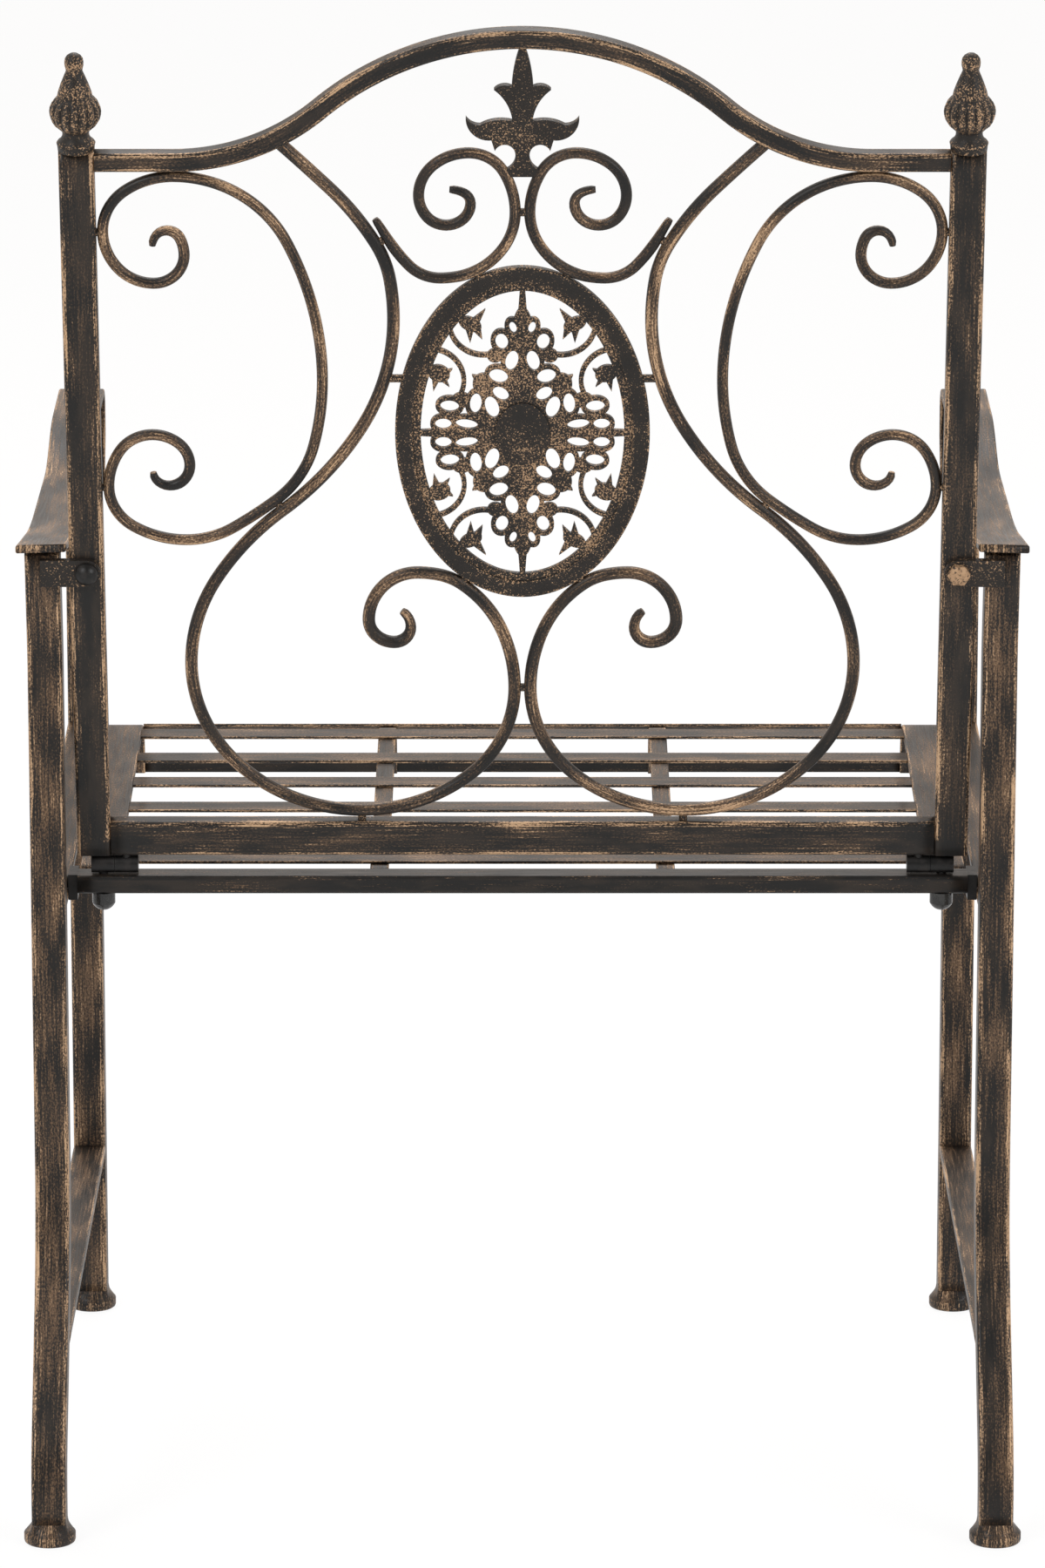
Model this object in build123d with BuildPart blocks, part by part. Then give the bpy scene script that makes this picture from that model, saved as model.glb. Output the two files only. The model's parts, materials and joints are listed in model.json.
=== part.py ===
from build123d import *
import os
from math import atan2, cos, degrees, radians, sin, sqrt, tan

os.makedirs("parts", exist_ok=True)

# Garden armchair in iron tube and bar. +Z is up, the sitter looks towards -Y, and the sitter's
# left is +X. The origin is on the floor under the middle of the chair's box. Millimetres.

# Stance
seat_height = 412.5  # top of the seat over the hinge line
seat_slope = 3.3  # the seat falls towards the back, degrees
back_lean = 12.0  # the back leans from the vertical, degrees
hinge_y = 149.0  # hinge line, front to back
rear_foot_y = 259.0
foot_spacing = 507.0
leg_kick = 84.0  # how far the rear foot stands behind the straight part of its leg

# Tube and bar stock
leg_tube = 22.0
tube_wall = 1.5
tube_corner = 2.5
post_width = 22.0
frame_depth = 12.0  # posts, arch and bottom rail of the back are one depth
bottom_rail_height = 23.5
arch_bar = 12.0
scroll_bar = 8.0
light_scroll_bar = 7.0

# Back frame
post_x = 274.0
post_top = 487.0  # along the back from the hinge line
frame_bottom = 8.0
arch_rise = 80.0
arch_inset = 1.0  # under the posts' tops
arch_flat = 48.0  # level run of the arch beside each post
arch_crown_share = 0.58  # part of the arch's swept width in its crown curve

# Oval medallion and the leaf plate over it
medallion_centre = 299.0
medallion_half_width = 79.5
medallion_half_height = 111.5
medallion_band = 11.0
medallion_depth = 6.0
filigree_rim = 5.0
filigree_depth = 3.0
filigree_stem = 3.0
filigree_wall = 3.0  # round each opening of the pierced plate
boss_half_width = 17.0  # oval boss in the middle of the plate
boss_half_height = 20.5
boss_rise = 1.2  # over both faces of the plate
leaf_depth = 5.0
leaf_gap = 0.3  # between its tip and the arch

# Welds in the scrollwork
weld_gap = 0.5  # between bars that are welded side by side
twin_gap = 1.0  # each twin scroll from the middle of the back
weld_radius = 2.6
weld_sink = 2.2  # how far a weld is set into each piece
peg_length = 2.5  # between the long scroll and the bottom rail
side_peg_length = 12.0  # from inside the oval's edge to the middle of the long scroll

# Finials
finial_height = 63.0
finial_radius = 16.2
finial_flange_radius = 12.0
finial_flange_height = 5.0
finial_neck_radius = 8.2
finial_neck_low = 9.0
finial_neck_high = 13.0
finial_bulb_middle = 25.0
finial_cone_foot = 34.5
finial_cone_radius = 11.0
finial_ball_radius = 5.9
finial_ball_dip = 40.0  # below the ball's middle, where the cone meets it, degrees

# Side frames
post_leg_gap = 6.0
arm_post_gap = 1.5
arm_width = 31.0
arm_thickness = 5.0
arm_over_tab = 7.2  # middle of the arm's strip over the tab's top, at its rear end
arm_dip = 17.0
arm_crest = 12.0
arm_rear_y = 214.0
arm_tip = 11.0  # the rear end is cut at a slant, longest on the outside
arm_front_y = -273.0
arm_dip_rear_y = 75.0
arm_dip_front_y = -108.0
arm_crest_y = -172.0
arm_dip_rise = 3.0  # along the dip, towards the front
arm_crest_rise = 5.0
arm_dip_bend = 600.0
arm_wave_bend = 150.0
arm_front_bend = 12.0
arm_nose = 32.0  # straight drop at the front
arm_return = 20.0  # slant back to the front leg
arm_edge = 1.0
arm_tail = 65.0  # how far the strip turns down at the front
arm_tail_gap = 0.3
leg_top_bend = 100.0
leg_kick_slant = 33.0  # of the kicked stretch, from the vertical, degrees
leg_kick_bend = 190.0
leg_ankle = 35.4  # straight end of the rear leg over its foot
leg_ankle_bend = 82.0
stretcher_height = 117.0
stretcher_thickness = 6.0
side_rail_thickness = 5.0
side_rail_clearance = 0.4  # under the heads of the seat bolts
foot_height = 14.0
foot_rim = 7.0
foot_radius = 16.5
foot_edge = 2.0

# Seat
seat_depth = 365.0  # hinge line to the front of the roll
plate_width = 25.0
plate_inset = 1.0  # inside the posts' outer faces
plate_thickness = 4.0
roll_radius = 30.0  # outside of the front roll
roll_drop = 41.0
rear_rail_depth = 18.5
rear_rail_height = 12.0
rear_rail_back = 7.0  # rear rail behind the hinge line
slat_count = 6
slat_width = 19.0
slat_thickness = 2.0
first_slat = 35.0
slat_pitch = 57.0
strap_x = 92.0
strap_width = 12.0
strap_thickness = 3.0
front_rail_height = 13.5
front_rail_thickness = 2.0

# Hinges
knuckle_radius = 6.0
knuckle_gap = 0.5
hinge_outer_x = 276.0
hinge_length = 30.0
hinge_pin_radius = 2.5
hinge_running_gap = 0.05
shank_radius = 3.0
shank_in_back = 12.0
nut_flats = 10.0
nut_height = 5.0
shank_past_nut = 2.0
cap_radius = 7.4
cap_height = 12.5
cap_wall = 1.0
cap_dome = 5.0
knuckle_side_gap = 0.2

# Tabs that tie the back to the rear legs
tab_height = 207.0  # along the back from the hinge line
tab_width = 18.0
tab_thickness = 4.0
tab_clearance = 0.3
tab_on_leg = 12.0
bolt_radius = 2.6
bolt_clearance = 0.5
bolt_reach = 8.0
bolt_head_radius = 7.3
bolt_head_height = 6.5
bolt_flange = 1.5
acorn_flats = 12.6
acorn_hex_height = 3.5
insert_wall = 1.2
insert_length = 9.0

# Lugs, blocks and bolts that carry the seat
lug_length = 20.0
lug_bolt_radius = 2.5
lug_bolt_drop = 7.2
lug_bolt_length = 16.0
lug_bolt_head = 4.2
lug_bolt_head_height = 3.5
lug_bolt_edge = 1.2
rear_lug = 6.0  # forward of the hinge line
front_lug = 300.0
plug_length = 20.0
block_height = 12.0
block_length = 14.0
block_width = 14.0

# Places that follow from the sizes
hinge_z = seat_height + knuckle_radius + knuckle_gap
post_outer = post_x + post_width / 2
post_inner = post_x - post_width / 2
leg_x = post_outer + post_leg_gap + leg_tube / 2
leg_inner = leg_x - leg_tube / 2
arm_x = post_outer + arm_post_gap + arm_width / 2
rear_leg_y = rear_foot_y - leg_kick
front_leg_y = rear_foot_y - foot_spacing
plate_outer = post_outer - plate_inset
plate_x = plate_outer - plate_width / 2
slat_reach = plate_outer - plate_width
rail_front = rear_rail_depth - rear_rail_back
arch_level = post_top - arch_inset - arch_bar / 2
panel_bottom = frame_bottom + bottom_rail_height
panel_top = arch_level - arch_bar / 2
rear_face = -frame_depth / 2
tab_face = rear_face - tab_clearance
side_rail_drop = lug_bolt_drop + lug_bolt_head + side_rail_clearance + side_rail_thickness / 2
lean_sin = sin(radians(back_lean))
lean_cos = cos(radians(back_lean))
slope_sin = sin(radians(seat_slope))
slope_cos = cos(radians(seat_slope))
arm_z = hinge_z + (tab_height + tab_width / 2) * lean_cos + arm_over_tab

# The back's plane: x across, y up the back from the hinge line, z towards the sitter.
back_plane = Plane((0, hinge_y, hinge_z), x_dir=(1, 0, 0), z_dir=(0, -lean_cos, lean_sin))
sides = (("left", 1), ("right", -1))


def back_point(x, y, z=0.0):
    return back_plane.from_local_coords(Vector(x, y, z))


def up_the_back(x, y, z=0.0):
    """A plane square to the back's height, for tubes and shanks that run up the back."""
    return Plane(back_point(x, y, z), x_dir=(1, 0, 0), z_dir=back_plane.y_dir)


def seat_side(x):
    """Side view of the seat at x: x runs forward from the hinge line, y up from the seat's top."""
    return Plane((x, hinge_y, seat_height), x_dir=(0, -slope_cos, slope_sin), z_dir=(-1, 0, 0))


def seat_top(x, forward, drop):
    """A plane parallel to the seat's top, drop below it."""
    place = seat_side(x).from_local_coords(Vector(forward, -drop, 0))
    return Plane(place, x_dir=(1, 0, 0), z_dir=(0, slope_sin, slope_cos))


def lug_end(x, forward):
    """A plane on the seat bolt's line, facing out towards the side frame."""
    place = seat_side(x).from_local_coords(Vector(forward, -lug_bolt_drop, 0))
    return Plane(place, x_dir=(0, slope_sin, slope_cos), z_dir=(1 if x > 0 else -1, 0, 0))


def seat_z(y, drop):
    """Height of a line parallel to the seat's top, drop below it."""
    return seat_height + (hinge_y - y) * tan(radians(seat_slope)) - drop / slope_cos


def square_tube(width, depth):
    RectangleRounded(width, depth, tube_corner)
    inside = tube_corner - tube_wall
    RectangleRounded(width - 2 * tube_wall, depth - 2 * tube_wall, inside, mode=Mode.SUBTRACT)


def finish(piece, name):
    piece.part.label = name
    export_step(piece.part, f"parts/{name}.step")


def heading(degrees):
    return Vector(cos(radians(degrees)), sin(radians(degrees)))


def back_way(way):
    return back_plane.x_dir * way.X + back_plane.y_dir * way.Y


def arc_on_back(start, end, way):
    """An arc in the back's plane that leaves start along way."""
    TangentArc(back_point(start.X, start.Y), back_point(end.X, end.Y), tangent=back_way(way))


def bend_between(start, start_way, end, end_way):
    """Two arcs that leave start along start_way and reach end along end_way."""
    chord = end - start
    along = chord.dot(start_way + end_way)
    spread = 2 * (1 - start_way.dot(end_way))
    if spread < 1e-6:
        reach = chord.dot(chord) / (4 * chord.dot(end_way))
    else:
        reach = (sqrt(along**2 + spread * chord.dot(chord)) - along) / spread
    middle = (start + end + (start_way - end_way) * reach) * 0.5
    turn = (middle - start).normalized()
    arc_on_back(start, middle, start_way)
    arc_on_back(middle, end, turn * (2 * turn.dot(start_way)) - start_way)


# The scrollwork is drawn on a panel of this size and stretches onto the real one.
drawn_half_width = 263.0
drawn_bottom = 31.5
drawn_top = 474.0


def drawn(x, y, turn):
    """A station of a scroll: its place on the panel and the heading of the bar there."""
    share = (y - drawn_bottom) / (drawn_top - drawn_bottom)
    across = x * post_inner / drawn_half_width
    return Vector(across, panel_bottom + share * (panel_top - panel_bottom)), turn


def beside(station, away):
    """A station that runs along another one, away to the left of its heading."""
    place, turn = station
    return place + heading(turn + 90) * away, turn


def at_x(x, station):
    place, turn = station
    return Vector(x, place.Y), turn


def round_medallion(turn, away):
    """A station that passes the oval at that angle, away from its edge."""
    right, up = cos(radians(turn)), sin(radians(turn))
    edge = Vector(medallion_half_width * right, medallion_centre + medallion_half_height * up)
    out = Vector(right / medallion_half_width, up / medallion_half_height).normalized()
    return edge + out * away, degrees(atan2(out.Y, out.X)) + 90


# Where the bars are welded to each other, to the oval, to the posts and to the bottom rail
heavy = scroll_bar / 2
light = light_scroll_bar / 2
side_by_side = heavy + light + weld_gap
outer_meeting = drawn(150, 246.5, -38)
upper_meeting = drawn(90.5, 425, -120)
lower_twin = at_x(heavy + twin_gap, drawn(0, 124, 90))
upper_twin = at_x(light + twin_gap, drawn(0, 446, 90))
upper_post_meeting = at_x(post_inner - light - weld_gap, drawn(0, 433, 90))
lower_post_meeting = at_x(post_inner - light - weld_gap, drawn(0, 262, 90))
rail_meeting = Vector(drawn(102.5, 0, 0)[0].X, panel_bottom + peg_length + heavy), 180
oval_lower, oval_side, oval_upper = -63.0, 19.4, 70.0

long_scroll_stations = [
    drawn(152, 494, -137),
    upper_meeting,
    drawn(80, 376, -90),
    outer_meeting,
    drawn(209.5, 140, -90),
    rail_meeting,
    lower_twin,
    round_medallion(oval_lower, heavy + weld_gap),
    drawn(66, 203.5, 0),
    drawn(97, 171, -90),
    drawn(81, 155.5, 180),
    drawn(70.5, 166, 90),
    drawn(76, 177, 35),
]
outer_scroll_stations = [
    drawn(228.5, 424, 90),
    drawn(219.5, 434, 180),
    drawn(209, 418, -90),
    drawn(228, 399, 0),
    upper_post_meeting,
    drawn(215, 469.5, 180),
    drawn(124.5, 336, -90),
    beside(outer_meeting, side_by_side),
    drawn(211, 226, 0),
    lower_post_meeting,
    drawn(231, 297.5, 180),
    drawn(208, 277, -90),
    drawn(221, 263, 0),
    drawn(231, 272, 90),
]
upper_scroll_stations = [
    drawn(91, 441.5, -124),
    beside(upper_meeting, -side_by_side),
    drawn(51, 402.5, 180),
    round_medallion(oval_upper, light + weld_gap),
    upper_twin,
    drawn(33, 485, 0),
    drawn(64, 457, -90),
    drawn(47, 437.5, 180),
    drawn(32, 452, 90),
    drawn(45, 461, 0),
]


def scroll(side, stations, bar):
    """A round bar bent through its stations on one side of the back, cut off under the arch."""
    places = [Vector(side * place.X, place.Y) for place, _ in stations]
    ways = [Vector(side * heading(turn).X, heading(turn).Y) for _, turn in stations]
    with BuildPart() as bent:
        with BuildLine() as path:
            for index in range(len(places) - 1):
                bend_between(places[index], ways[index], places[index + 1], ways[index + 1])
        with BuildSketch(Plane(path.line @ 0, z_dir=path.line % 0)):
            Circle(bar / 2)
        sweep()
        add(arch.part, mode=Mode.SUBTRACT)
    return bent


# Back posts, each bored in its rear wall for the threaded insert that takes the tab bolt
for name, side in sides:
    with BuildPart() as post:
        with BuildSketch(up_the_back(side * post_x, frame_bottom)):
            square_tube(post_width, frame_depth)
        extrude(amount=post_top - frame_bottom)
        with BuildSketch(back_plane.offset(rear_face)):
            with Locations((side * post_x, tab_height)):
                Circle(bolt_radius + bolt_clearance + insert_wall)
        extrude(amount=frame_depth / 2, mode=Mode.SUBTRACT)
    finish(post, f"{name}_back_post")

# Bottom rail between the posts, bored underneath for the upper hinge shanks
upper_shank_x = hinge_outer_x - hinge_length * 0.75
lower_shank_x = hinge_outer_x - hinge_length * 0.25
with BuildPart() as bottom_rail:
    rail_middle = back_point(-post_inner, frame_bottom + bottom_rail_height / 2)
    with BuildSketch(Plane(rail_middle, x_dir=back_plane.y_dir, z_dir=(1, 0, 0))):
        square_tube(bottom_rail_height, frame_depth)
    extrude(amount=2 * post_inner)
    for name, side in sides:
        with BuildSketch(up_the_back(side * upper_shank_x, frame_bottom)):
            Circle(shank_radius)
        extrude(amount=bottom_rail_height / 2, mode=Mode.SUBTRACT)
finish(bottom_rail, "back_bottom_rail")

# Arched top bar: level beside the posts, then a hollow curve up into the crown
arch_run = post_inner - arch_flat
crown_x = arch_run * arch_crown_share
crown_y = arch_level + arch_rise * (1 - arch_crown_share)
crown = (Vector(-arch_run, arch_level), Vector(-crown_x, crown_y), Vector(crown_x, crown_y),
         Vector(arch_run, arch_level))
with BuildPart() as arch:
    with BuildLine():
        Line(back_point(-post_inner, arch_level), back_point(-arch_run, arch_level))
        arc_on_back(crown[0], crown[1], heading(0))
        ThreePointArc(back_point(-crown_x, crown_y), back_point(0, arch_level + arch_rise),
                      back_point(crown_x, crown_y))
        hollow = (crown[3] - crown[2]).normalized()
        arc_on_back(crown[2], crown[3], hollow * (2 * hollow.X) - heading(0))
        Line(back_point(arch_run, arch_level), back_point(post_inner, arch_level))
    with BuildSketch(Plane(back_point(-post_inner, arch_level), x_dir=back_plane.y_dir, z_dir=(1, 0, 0))):
        RectangleRounded(arch_bar, frame_depth, tube_corner / 2)
    sweep()
finish(arch, "back_top_rail")

# Cast finials on the posts: a flange, a neck, a full bulb, a cone and a ball
ball_dip = radians(finial_ball_dip)
ball_middle = finial_height - finial_ball_radius
ball_foot = (finial_ball_radius * cos(ball_dip), ball_middle - finial_ball_radius * sin(ball_dip))
bulb_foot = (finial_neck_radius, finial_neck_high)
bulb_top = (finial_cone_radius, finial_cone_foot)
with BuildPart() as finial_form:
    with BuildSketch(Plane.XZ):
        with BuildLine():
            Polyline((0, finial_height), (0, 0), (finial_flange_radius, 0),
                     (finial_flange_radius, finial_flange_height), (finial_neck_radius, finial_neck_low),
                     bulb_foot)
            ThreePointArc(bulb_foot, (finial_radius, finial_bulb_middle), bulb_top)
            Line(bulb_top, ball_foot)
            ThreePointArc(ball_foot, (finial_ball_radius, ball_middle), (0, finial_height))
        make_face()
    revolve(axis=Axis.Z)
for name, side in sides:
    with BuildPart() as finial:
        add(up_the_back(side * post_x, post_top).location * finial_form.part)
    finish(finial, f"{name}_finial")

# Scrollwork in round bar
bars = {}
for name, side in sides:
    for kind, stations, bar in (
        ("long_scroll", long_scroll_stations, scroll_bar),
        ("outer_scroll", outer_scroll_stations, light_scroll_bar),
        ("upper_scroll", upper_scroll_stations, light_scroll_bar),
    ):
        piece = scroll(side, stations, bar)
        bars[kind, side] = piece.part
        finish(piece, f"{name}_{kind}")

# Oval medallion: a flat band, and inside it a pierced plate
inner_half_width = medallion_half_width - medallion_band
inner_half_height = medallion_half_height - medallion_band
with BuildPart() as oval_band:
    with BuildSketch(back_plane.offset(-medallion_depth / 2)):
        with Locations((0, medallion_centre)):
            Ellipse(medallion_half_width, medallion_half_height)
            Ellipse(inner_half_width, inner_half_height, mode=Mode.SUBTRACT)
    extrude(amount=medallion_depth)
finish(oval_band, "medallion_band")

# The pierced plate is drawn in one quarter, inside an oval of this size, and repeats in the others.
# Openings and lobes are ovals: the middle, the half width and height, and the turn in degrees.
drawn_plate_half_width = 63.5
drawn_plate_half_height = 95.5
plate_half_width = inner_half_width - filigree_rim
plate_half_height = inner_half_height - filigree_rim
plate_openings = [(34.8, 6.1, 7, 3.2, 8), (49.4, 6.2, 5.2, 3.6, 0), (45.4, 18.2, 5.9, 3.8, 5),
                  (29.1, 20, 3.6, 6.8, 5), (19, 17.5, 4.2, 7.4, -15), (13.5, 26.6, 5.6, 4, 40),
                  (14.9, 38.3, 6, 4.6, 20), (6.6, 48.7, 3.9, 6.8, 12), (12.9, 61.5, 3.9, 5.4, -10),
                  (5.9, 70.9, 2.2, 3.9, -15)]
lobes = [(0, 0, 31, 31, 0), (0, 36, 11, 9, 0), (0, 64, 7, 20, 0), (42, 0, 20, 3.5, 0), (24, 33, 7, 7, 0),
         (38, 22, 6, 5, 0), (17, 52, 5, 4.5, 0), (32.5, 73, 7.5, 4.4, 25), (52, 40, 7, 5.5, 20)]
stems = [((19, 53), (36, 56), (45, 70)), ((38.5, 26), (40, 47), (53, 56))]
leaf_tips = [((28, 71), (23, 83), (33, 75)), ((26, 72), (25, 63), (32, 70)),
             ((30, 70), (32.5, 60.5), (36, 72)), ((47, 38), (43.5, 43), (50, 42)),
             ((48, 38), (45.5, 31), (52, 36)), ((51, 37), (55.5, 28), (56.5, 38)),
             ((24, 38), (31.5, 39), (28, 31)), ((0, 74), (2.8, 80), (1.5, 98), (0, 98)),
             ((52, 0), (66, 0), (66, 1.8), (52, 2.6))]
plate_wide = plate_half_width / drawn_plate_half_width
plate_tall = plate_half_height / drawn_plate_half_height
quarters = ((1, 1), (-1, 1), (-1, -1), (1, -1))


def plate_points(across, up, points):
    return [(across * x * plate_wide, up * y * plate_tall) for x, y in points]


def plate_ovals(ovals, wall=0.0):
    """The ovals in all four quarters, each with a wall added round it."""
    made = []
    for across, up in quarters:
        for x, y, half_width, half_height, turn in ovals:
            radii = ((half_width + wall) * plate_wide, (half_height + wall) * plate_tall)
            oval = Ellipse(*radii, rotation=across * up * turn, mode=Mode.PRIVATE)
            made.append(Pos(*plate_points(across, up, [(x, y)])[0]) * oval)
    return made


with BuildPart() as filigree:
    oval_middle = back_point(0, medallion_centre, -filigree_depth / 2)
    with BuildSketch(Plane(oval_middle, x_dir=(1, 0, 0), z_dir=back_plane.z_dir)):
        Ellipse(inner_half_width, inner_half_height)
        Ellipse(plate_half_width, plate_half_height, mode=Mode.SUBTRACT)
        add(plate_ovals(plate_openings, filigree_wall) + plate_ovals(lobes))
        add(plate_ovals(plate_openings), mode=Mode.SUBTRACT)
        tips = []
        for across, up in quarters:
            for tip in leaf_tips:
                tips.append(Polygon(*plate_points(across, up, tip), align=None, mode=Mode.PRIVATE))
            for stem in stems:
                with BuildLine() as curl:
                    ThreePointArc(*plate_points(across, up, stem))
                trace(curl.line, line_width=filigree_stem)
        add(tips)
    extrude(amount=filigree_depth)
    with BuildSketch(Plane(oval_middle, x_dir=(1, 0, 0), z_dir=back_plane.z_dir).offset(-boss_rise)):
        Ellipse(boss_half_width, boss_half_height)
    extrude(amount=filigree_depth + 2 * boss_rise)
finish(filigree, "medallion_filigree")

# Leaf plate between the twin scrolls and the arch: one half of its edge, across and up, then its mirror
drawn_leaf_height = 88.0
leaf_foot = drawn(0, 466, 0)[0].Y
leaf_top = arch_level + arch_rise - arch_bar / 2 - leaf_gap


def leaf(x, up):
    return x, leaf_foot + up * (leaf_top - leaf_foot) / drawn_leaf_height


with BuildPart() as leaf_plate:
    with BuildSketch(back_plane.offset(-leaf_depth / 2)):
        with BuildLine():
            Line(leaf(0, 88), leaf(1.8, 88))
            ThreePointArc(leaf(1.8, 88), leaf(5.2, 75), leaf(6.6, 63))
            ThreePointArc(leaf(6.6, 63), leaf(11.5, 64), leaf(17.5, 61))
            ThreePointArc(leaf(17.5, 61), leaf(10.3, 53), leaf(6.2, 40.5))
            ThreePointArc(leaf(6.2, 40.5), leaf(15.5, 41.3), leaf(26, 38))
            ThreePointArc(leaf(26, 38), leaf(31, 39.2), leaf(34.8, 42.8))
            ThreePointArc(leaf(34.8, 42.8), leaf(30, 31.5), leaf(19.1, 28))
            Line(leaf(19.1, 28), leaf(17, 21))
            ThreePointArc(leaf(17, 21), leaf(9.5, 25), leaf(4.4, 18.5))
            ThreePointArc(leaf(4.4, 18.5), leaf(6, 12), leaf(12, 8))
            Polyline(leaf(12, 8), leaf(8, 4), leaf(0, 4), leaf(0, 88))
        make_face()
        mirror(about=Plane.YZ)
    extrude(amount=leaf_depth)
    for name, side in sides:
        add(bars["upper_scroll", side], mode=Mode.SUBTRACT)
finish(leaf_plate, "leaf_plate")

# Welds and pegs that hold the scrollwork in the frame
def peg(side, place, way, length, *neighbours):
    """A stub from place along way, shaped by what it joins."""
    foot = back_point(side * place.X, place.Y)
    with BuildPart() as stub:
        with BuildSketch(Plane(foot, z_dir=back_way(Vector(side * way.X, way.Y)))):
            Circle(weld_radius)
        extrude(amount=length)
        for neighbour in neighbours:
            add(neighbour, mode=Mode.SUBTRACT)
    return stub.part


def weld(side, station, gap, *neighbours):
    """A stub across the gap between two pieces, square to the station's heading."""
    place, turn = station
    way = heading(turn + 90)
    return peg(side, place - way * (gap / 2 + weld_sink), way, gap + 2 * weld_sink, *neighbours)


stubs = []
for name, side in sides:
    long_bar = bars["long_scroll", side]
    outer_bar = bars["outer_scroll", side]
    upper_bar = bars["upper_scroll", side]
    for place, _ in (upper_post_meeting, lower_post_meeting):
        stubs.append(peg(side, place, heading(0), light + weld_gap, outer_bar))
    stubs.append(peg(side, rail_meeting[0], heading(-90), heavy + peg_length, long_bar))
    oval_edge = round_medallion(oval_side, -weld_sink)[0]
    stubs.append(peg(side, oval_edge, heading(0), side_peg_length, long_bar, oval_band.part))
    stubs.append(weld(side, beside(outer_meeting, heavy + weld_gap / 2), weld_gap, long_bar, outer_bar))
    stubs.append(weld(side, beside(upper_meeting, -heavy - weld_gap / 2), weld_gap, long_bar, upper_bar))
    stubs.append(weld(side, round_medallion(oval_lower, weld_gap / 2), weld_gap, long_bar, oval_band.part))
    stubs.append(weld(side, round_medallion(oval_upper, weld_gap / 2), weld_gap, upper_bar, oval_band.part))
for kind, (place, turn) in (("long_scroll", lower_twin), ("upper_scroll", upper_twin)):
    stubs.append(weld(1, (Vector(0, place.Y), turn), 2 * twin_gap, bars[kind, 1], bars[kind, -1]))
with BuildPart() as welds:
    add(stubs)
finish(welds, "scroll_welds")

# Threaded inserts in the posts' rear walls for the tab bolts
bolt_bore = bolt_radius + bolt_clearance
with BuildPart() as inserts:
    for name, side in sides:
        with BuildSketch(back_plane.offset(rear_face)):
            with Locations((side * post_x, tab_height)):
                Circle(bolt_bore + insert_wall)
                Circle(bolt_bore, mode=Mode.SUBTRACT)
        extrude(amount=insert_length)
finish(inserts, "post_inserts")

# Arms: a flat strip that dips behind the elbow, rises to a crest and turns down to the front leg
arm_front_z = arm_z + arm_crest
tail_y = front_leg_y - leg_tube / 2 - arm_tail_gap - arm_thickness / 2
arm_route = [
    (arm_rear_y, arm_z),
    (arm_dip_rear_y, arm_z - arm_dip),
    (arm_dip_front_y, arm_z - arm_dip + arm_dip_rise),
    (arm_crest_y, arm_front_z - arm_crest_rise),
    (arm_front_y, arm_front_z),
    (arm_front_y, arm_front_z - arm_nose),
    (tail_y, arm_front_z - arm_nose - arm_return),
    (tail_y, arm_front_z - arm_tail),
]
arm_bends = [arm_dip_bend, arm_wave_bend, arm_wave_bend] + [arm_front_bend] * 3


def under_arm(rear, front):
    """The plane of the strip's underside on a straight run of its route."""
    way = Vector(0, rear[0] - front[0], rear[1] - front[1]).normalized()
    up = Vector(0, -way.Z, way.Y)
    return Plane(Vector(0, front[0], front[1]) - up * (arm_thickness / 2), x_dir=(1, 0, 0), z_dir=up)


for name, side in sides:
    with BuildPart() as arm:
        with BuildLine(Plane.YZ.offset(side * arm_x)) as strip:
            FilletPolyline(*arm_route, radius=arm_bends)
        with BuildSketch(Plane(strip.line @ 0, x_dir=(1, 0, 0), z_dir=strip.line % 0)):
            RectangleRounded(arm_width, arm_thickness, arm_edge)
        sweep()
        outer_tip = Vector(side * (arm_x + arm_width / 2), arm_rear_y, arm_z)
        split(bisect_by=Plane(outer_tip, z_dir=(-side * arm_tip, arm_width, 0)), keep=Keep.BOTTOM)
    finish(arm, f"{name}_arm")

# Legs in square tube. The rear leg follows the back's lean, drops past the seat and kicks out to its foot.
leg_offset = tab_face + leg_tube / 2  # from the back's plane, so that the tab lies on the leg's rear face
lean_start = (rear_leg_y - hinge_y + leg_offset * lean_cos) / lean_sin
lean_end = (arm_z + leg_tube - hinge_z - leg_offset * lean_sin) / lean_cos
ankle_z = foot_height + leg_ankle
kick_z = ankle_z + leg_kick / tan(radians(leg_kick_slant))
rear_leg_route = [
    (back_point(0, lean_end, leg_offset).Y, back_point(0, lean_end, leg_offset).Z),
    (rear_leg_y, back_point(0, lean_start, leg_offset).Z),
    (rear_leg_y, kick_z),
    (rear_foot_y, ankle_z),
    (rear_foot_y, foot_height),
]
for name, side in sides:
    with BuildPart() as rear_leg:
        with BuildLine(Plane.YZ.offset(side * leg_x)) as tube:
            FilletPolyline(*rear_leg_route, radius=[leg_top_bend, leg_kick_bend, leg_ankle_bend])
        with BuildSketch(Plane(tube.line @ 0, x_dir=(1, 0, 0), z_dir=tube.line % 0)):
            square_tube(leg_tube, leg_tube)
        sweep()
        split(bisect_by=under_arm(arm_route[0], arm_route[1]), keep=Keep.BOTTOM)
    finish(rear_leg, f"{name}_rear_leg")
    with BuildPart() as front_leg:
        with BuildSketch(Plane((side * leg_x, front_leg_y, foot_height))):
            square_tube(leg_tube, leg_tube)
        extrude(amount=arm_front_z + leg_tube - foot_height)
        split(bisect_by=under_arm(arm_route[3], arm_route[4]), keep=Keep.BOTTOM)
    finish(front_leg, f"{name}_front_leg")

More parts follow.
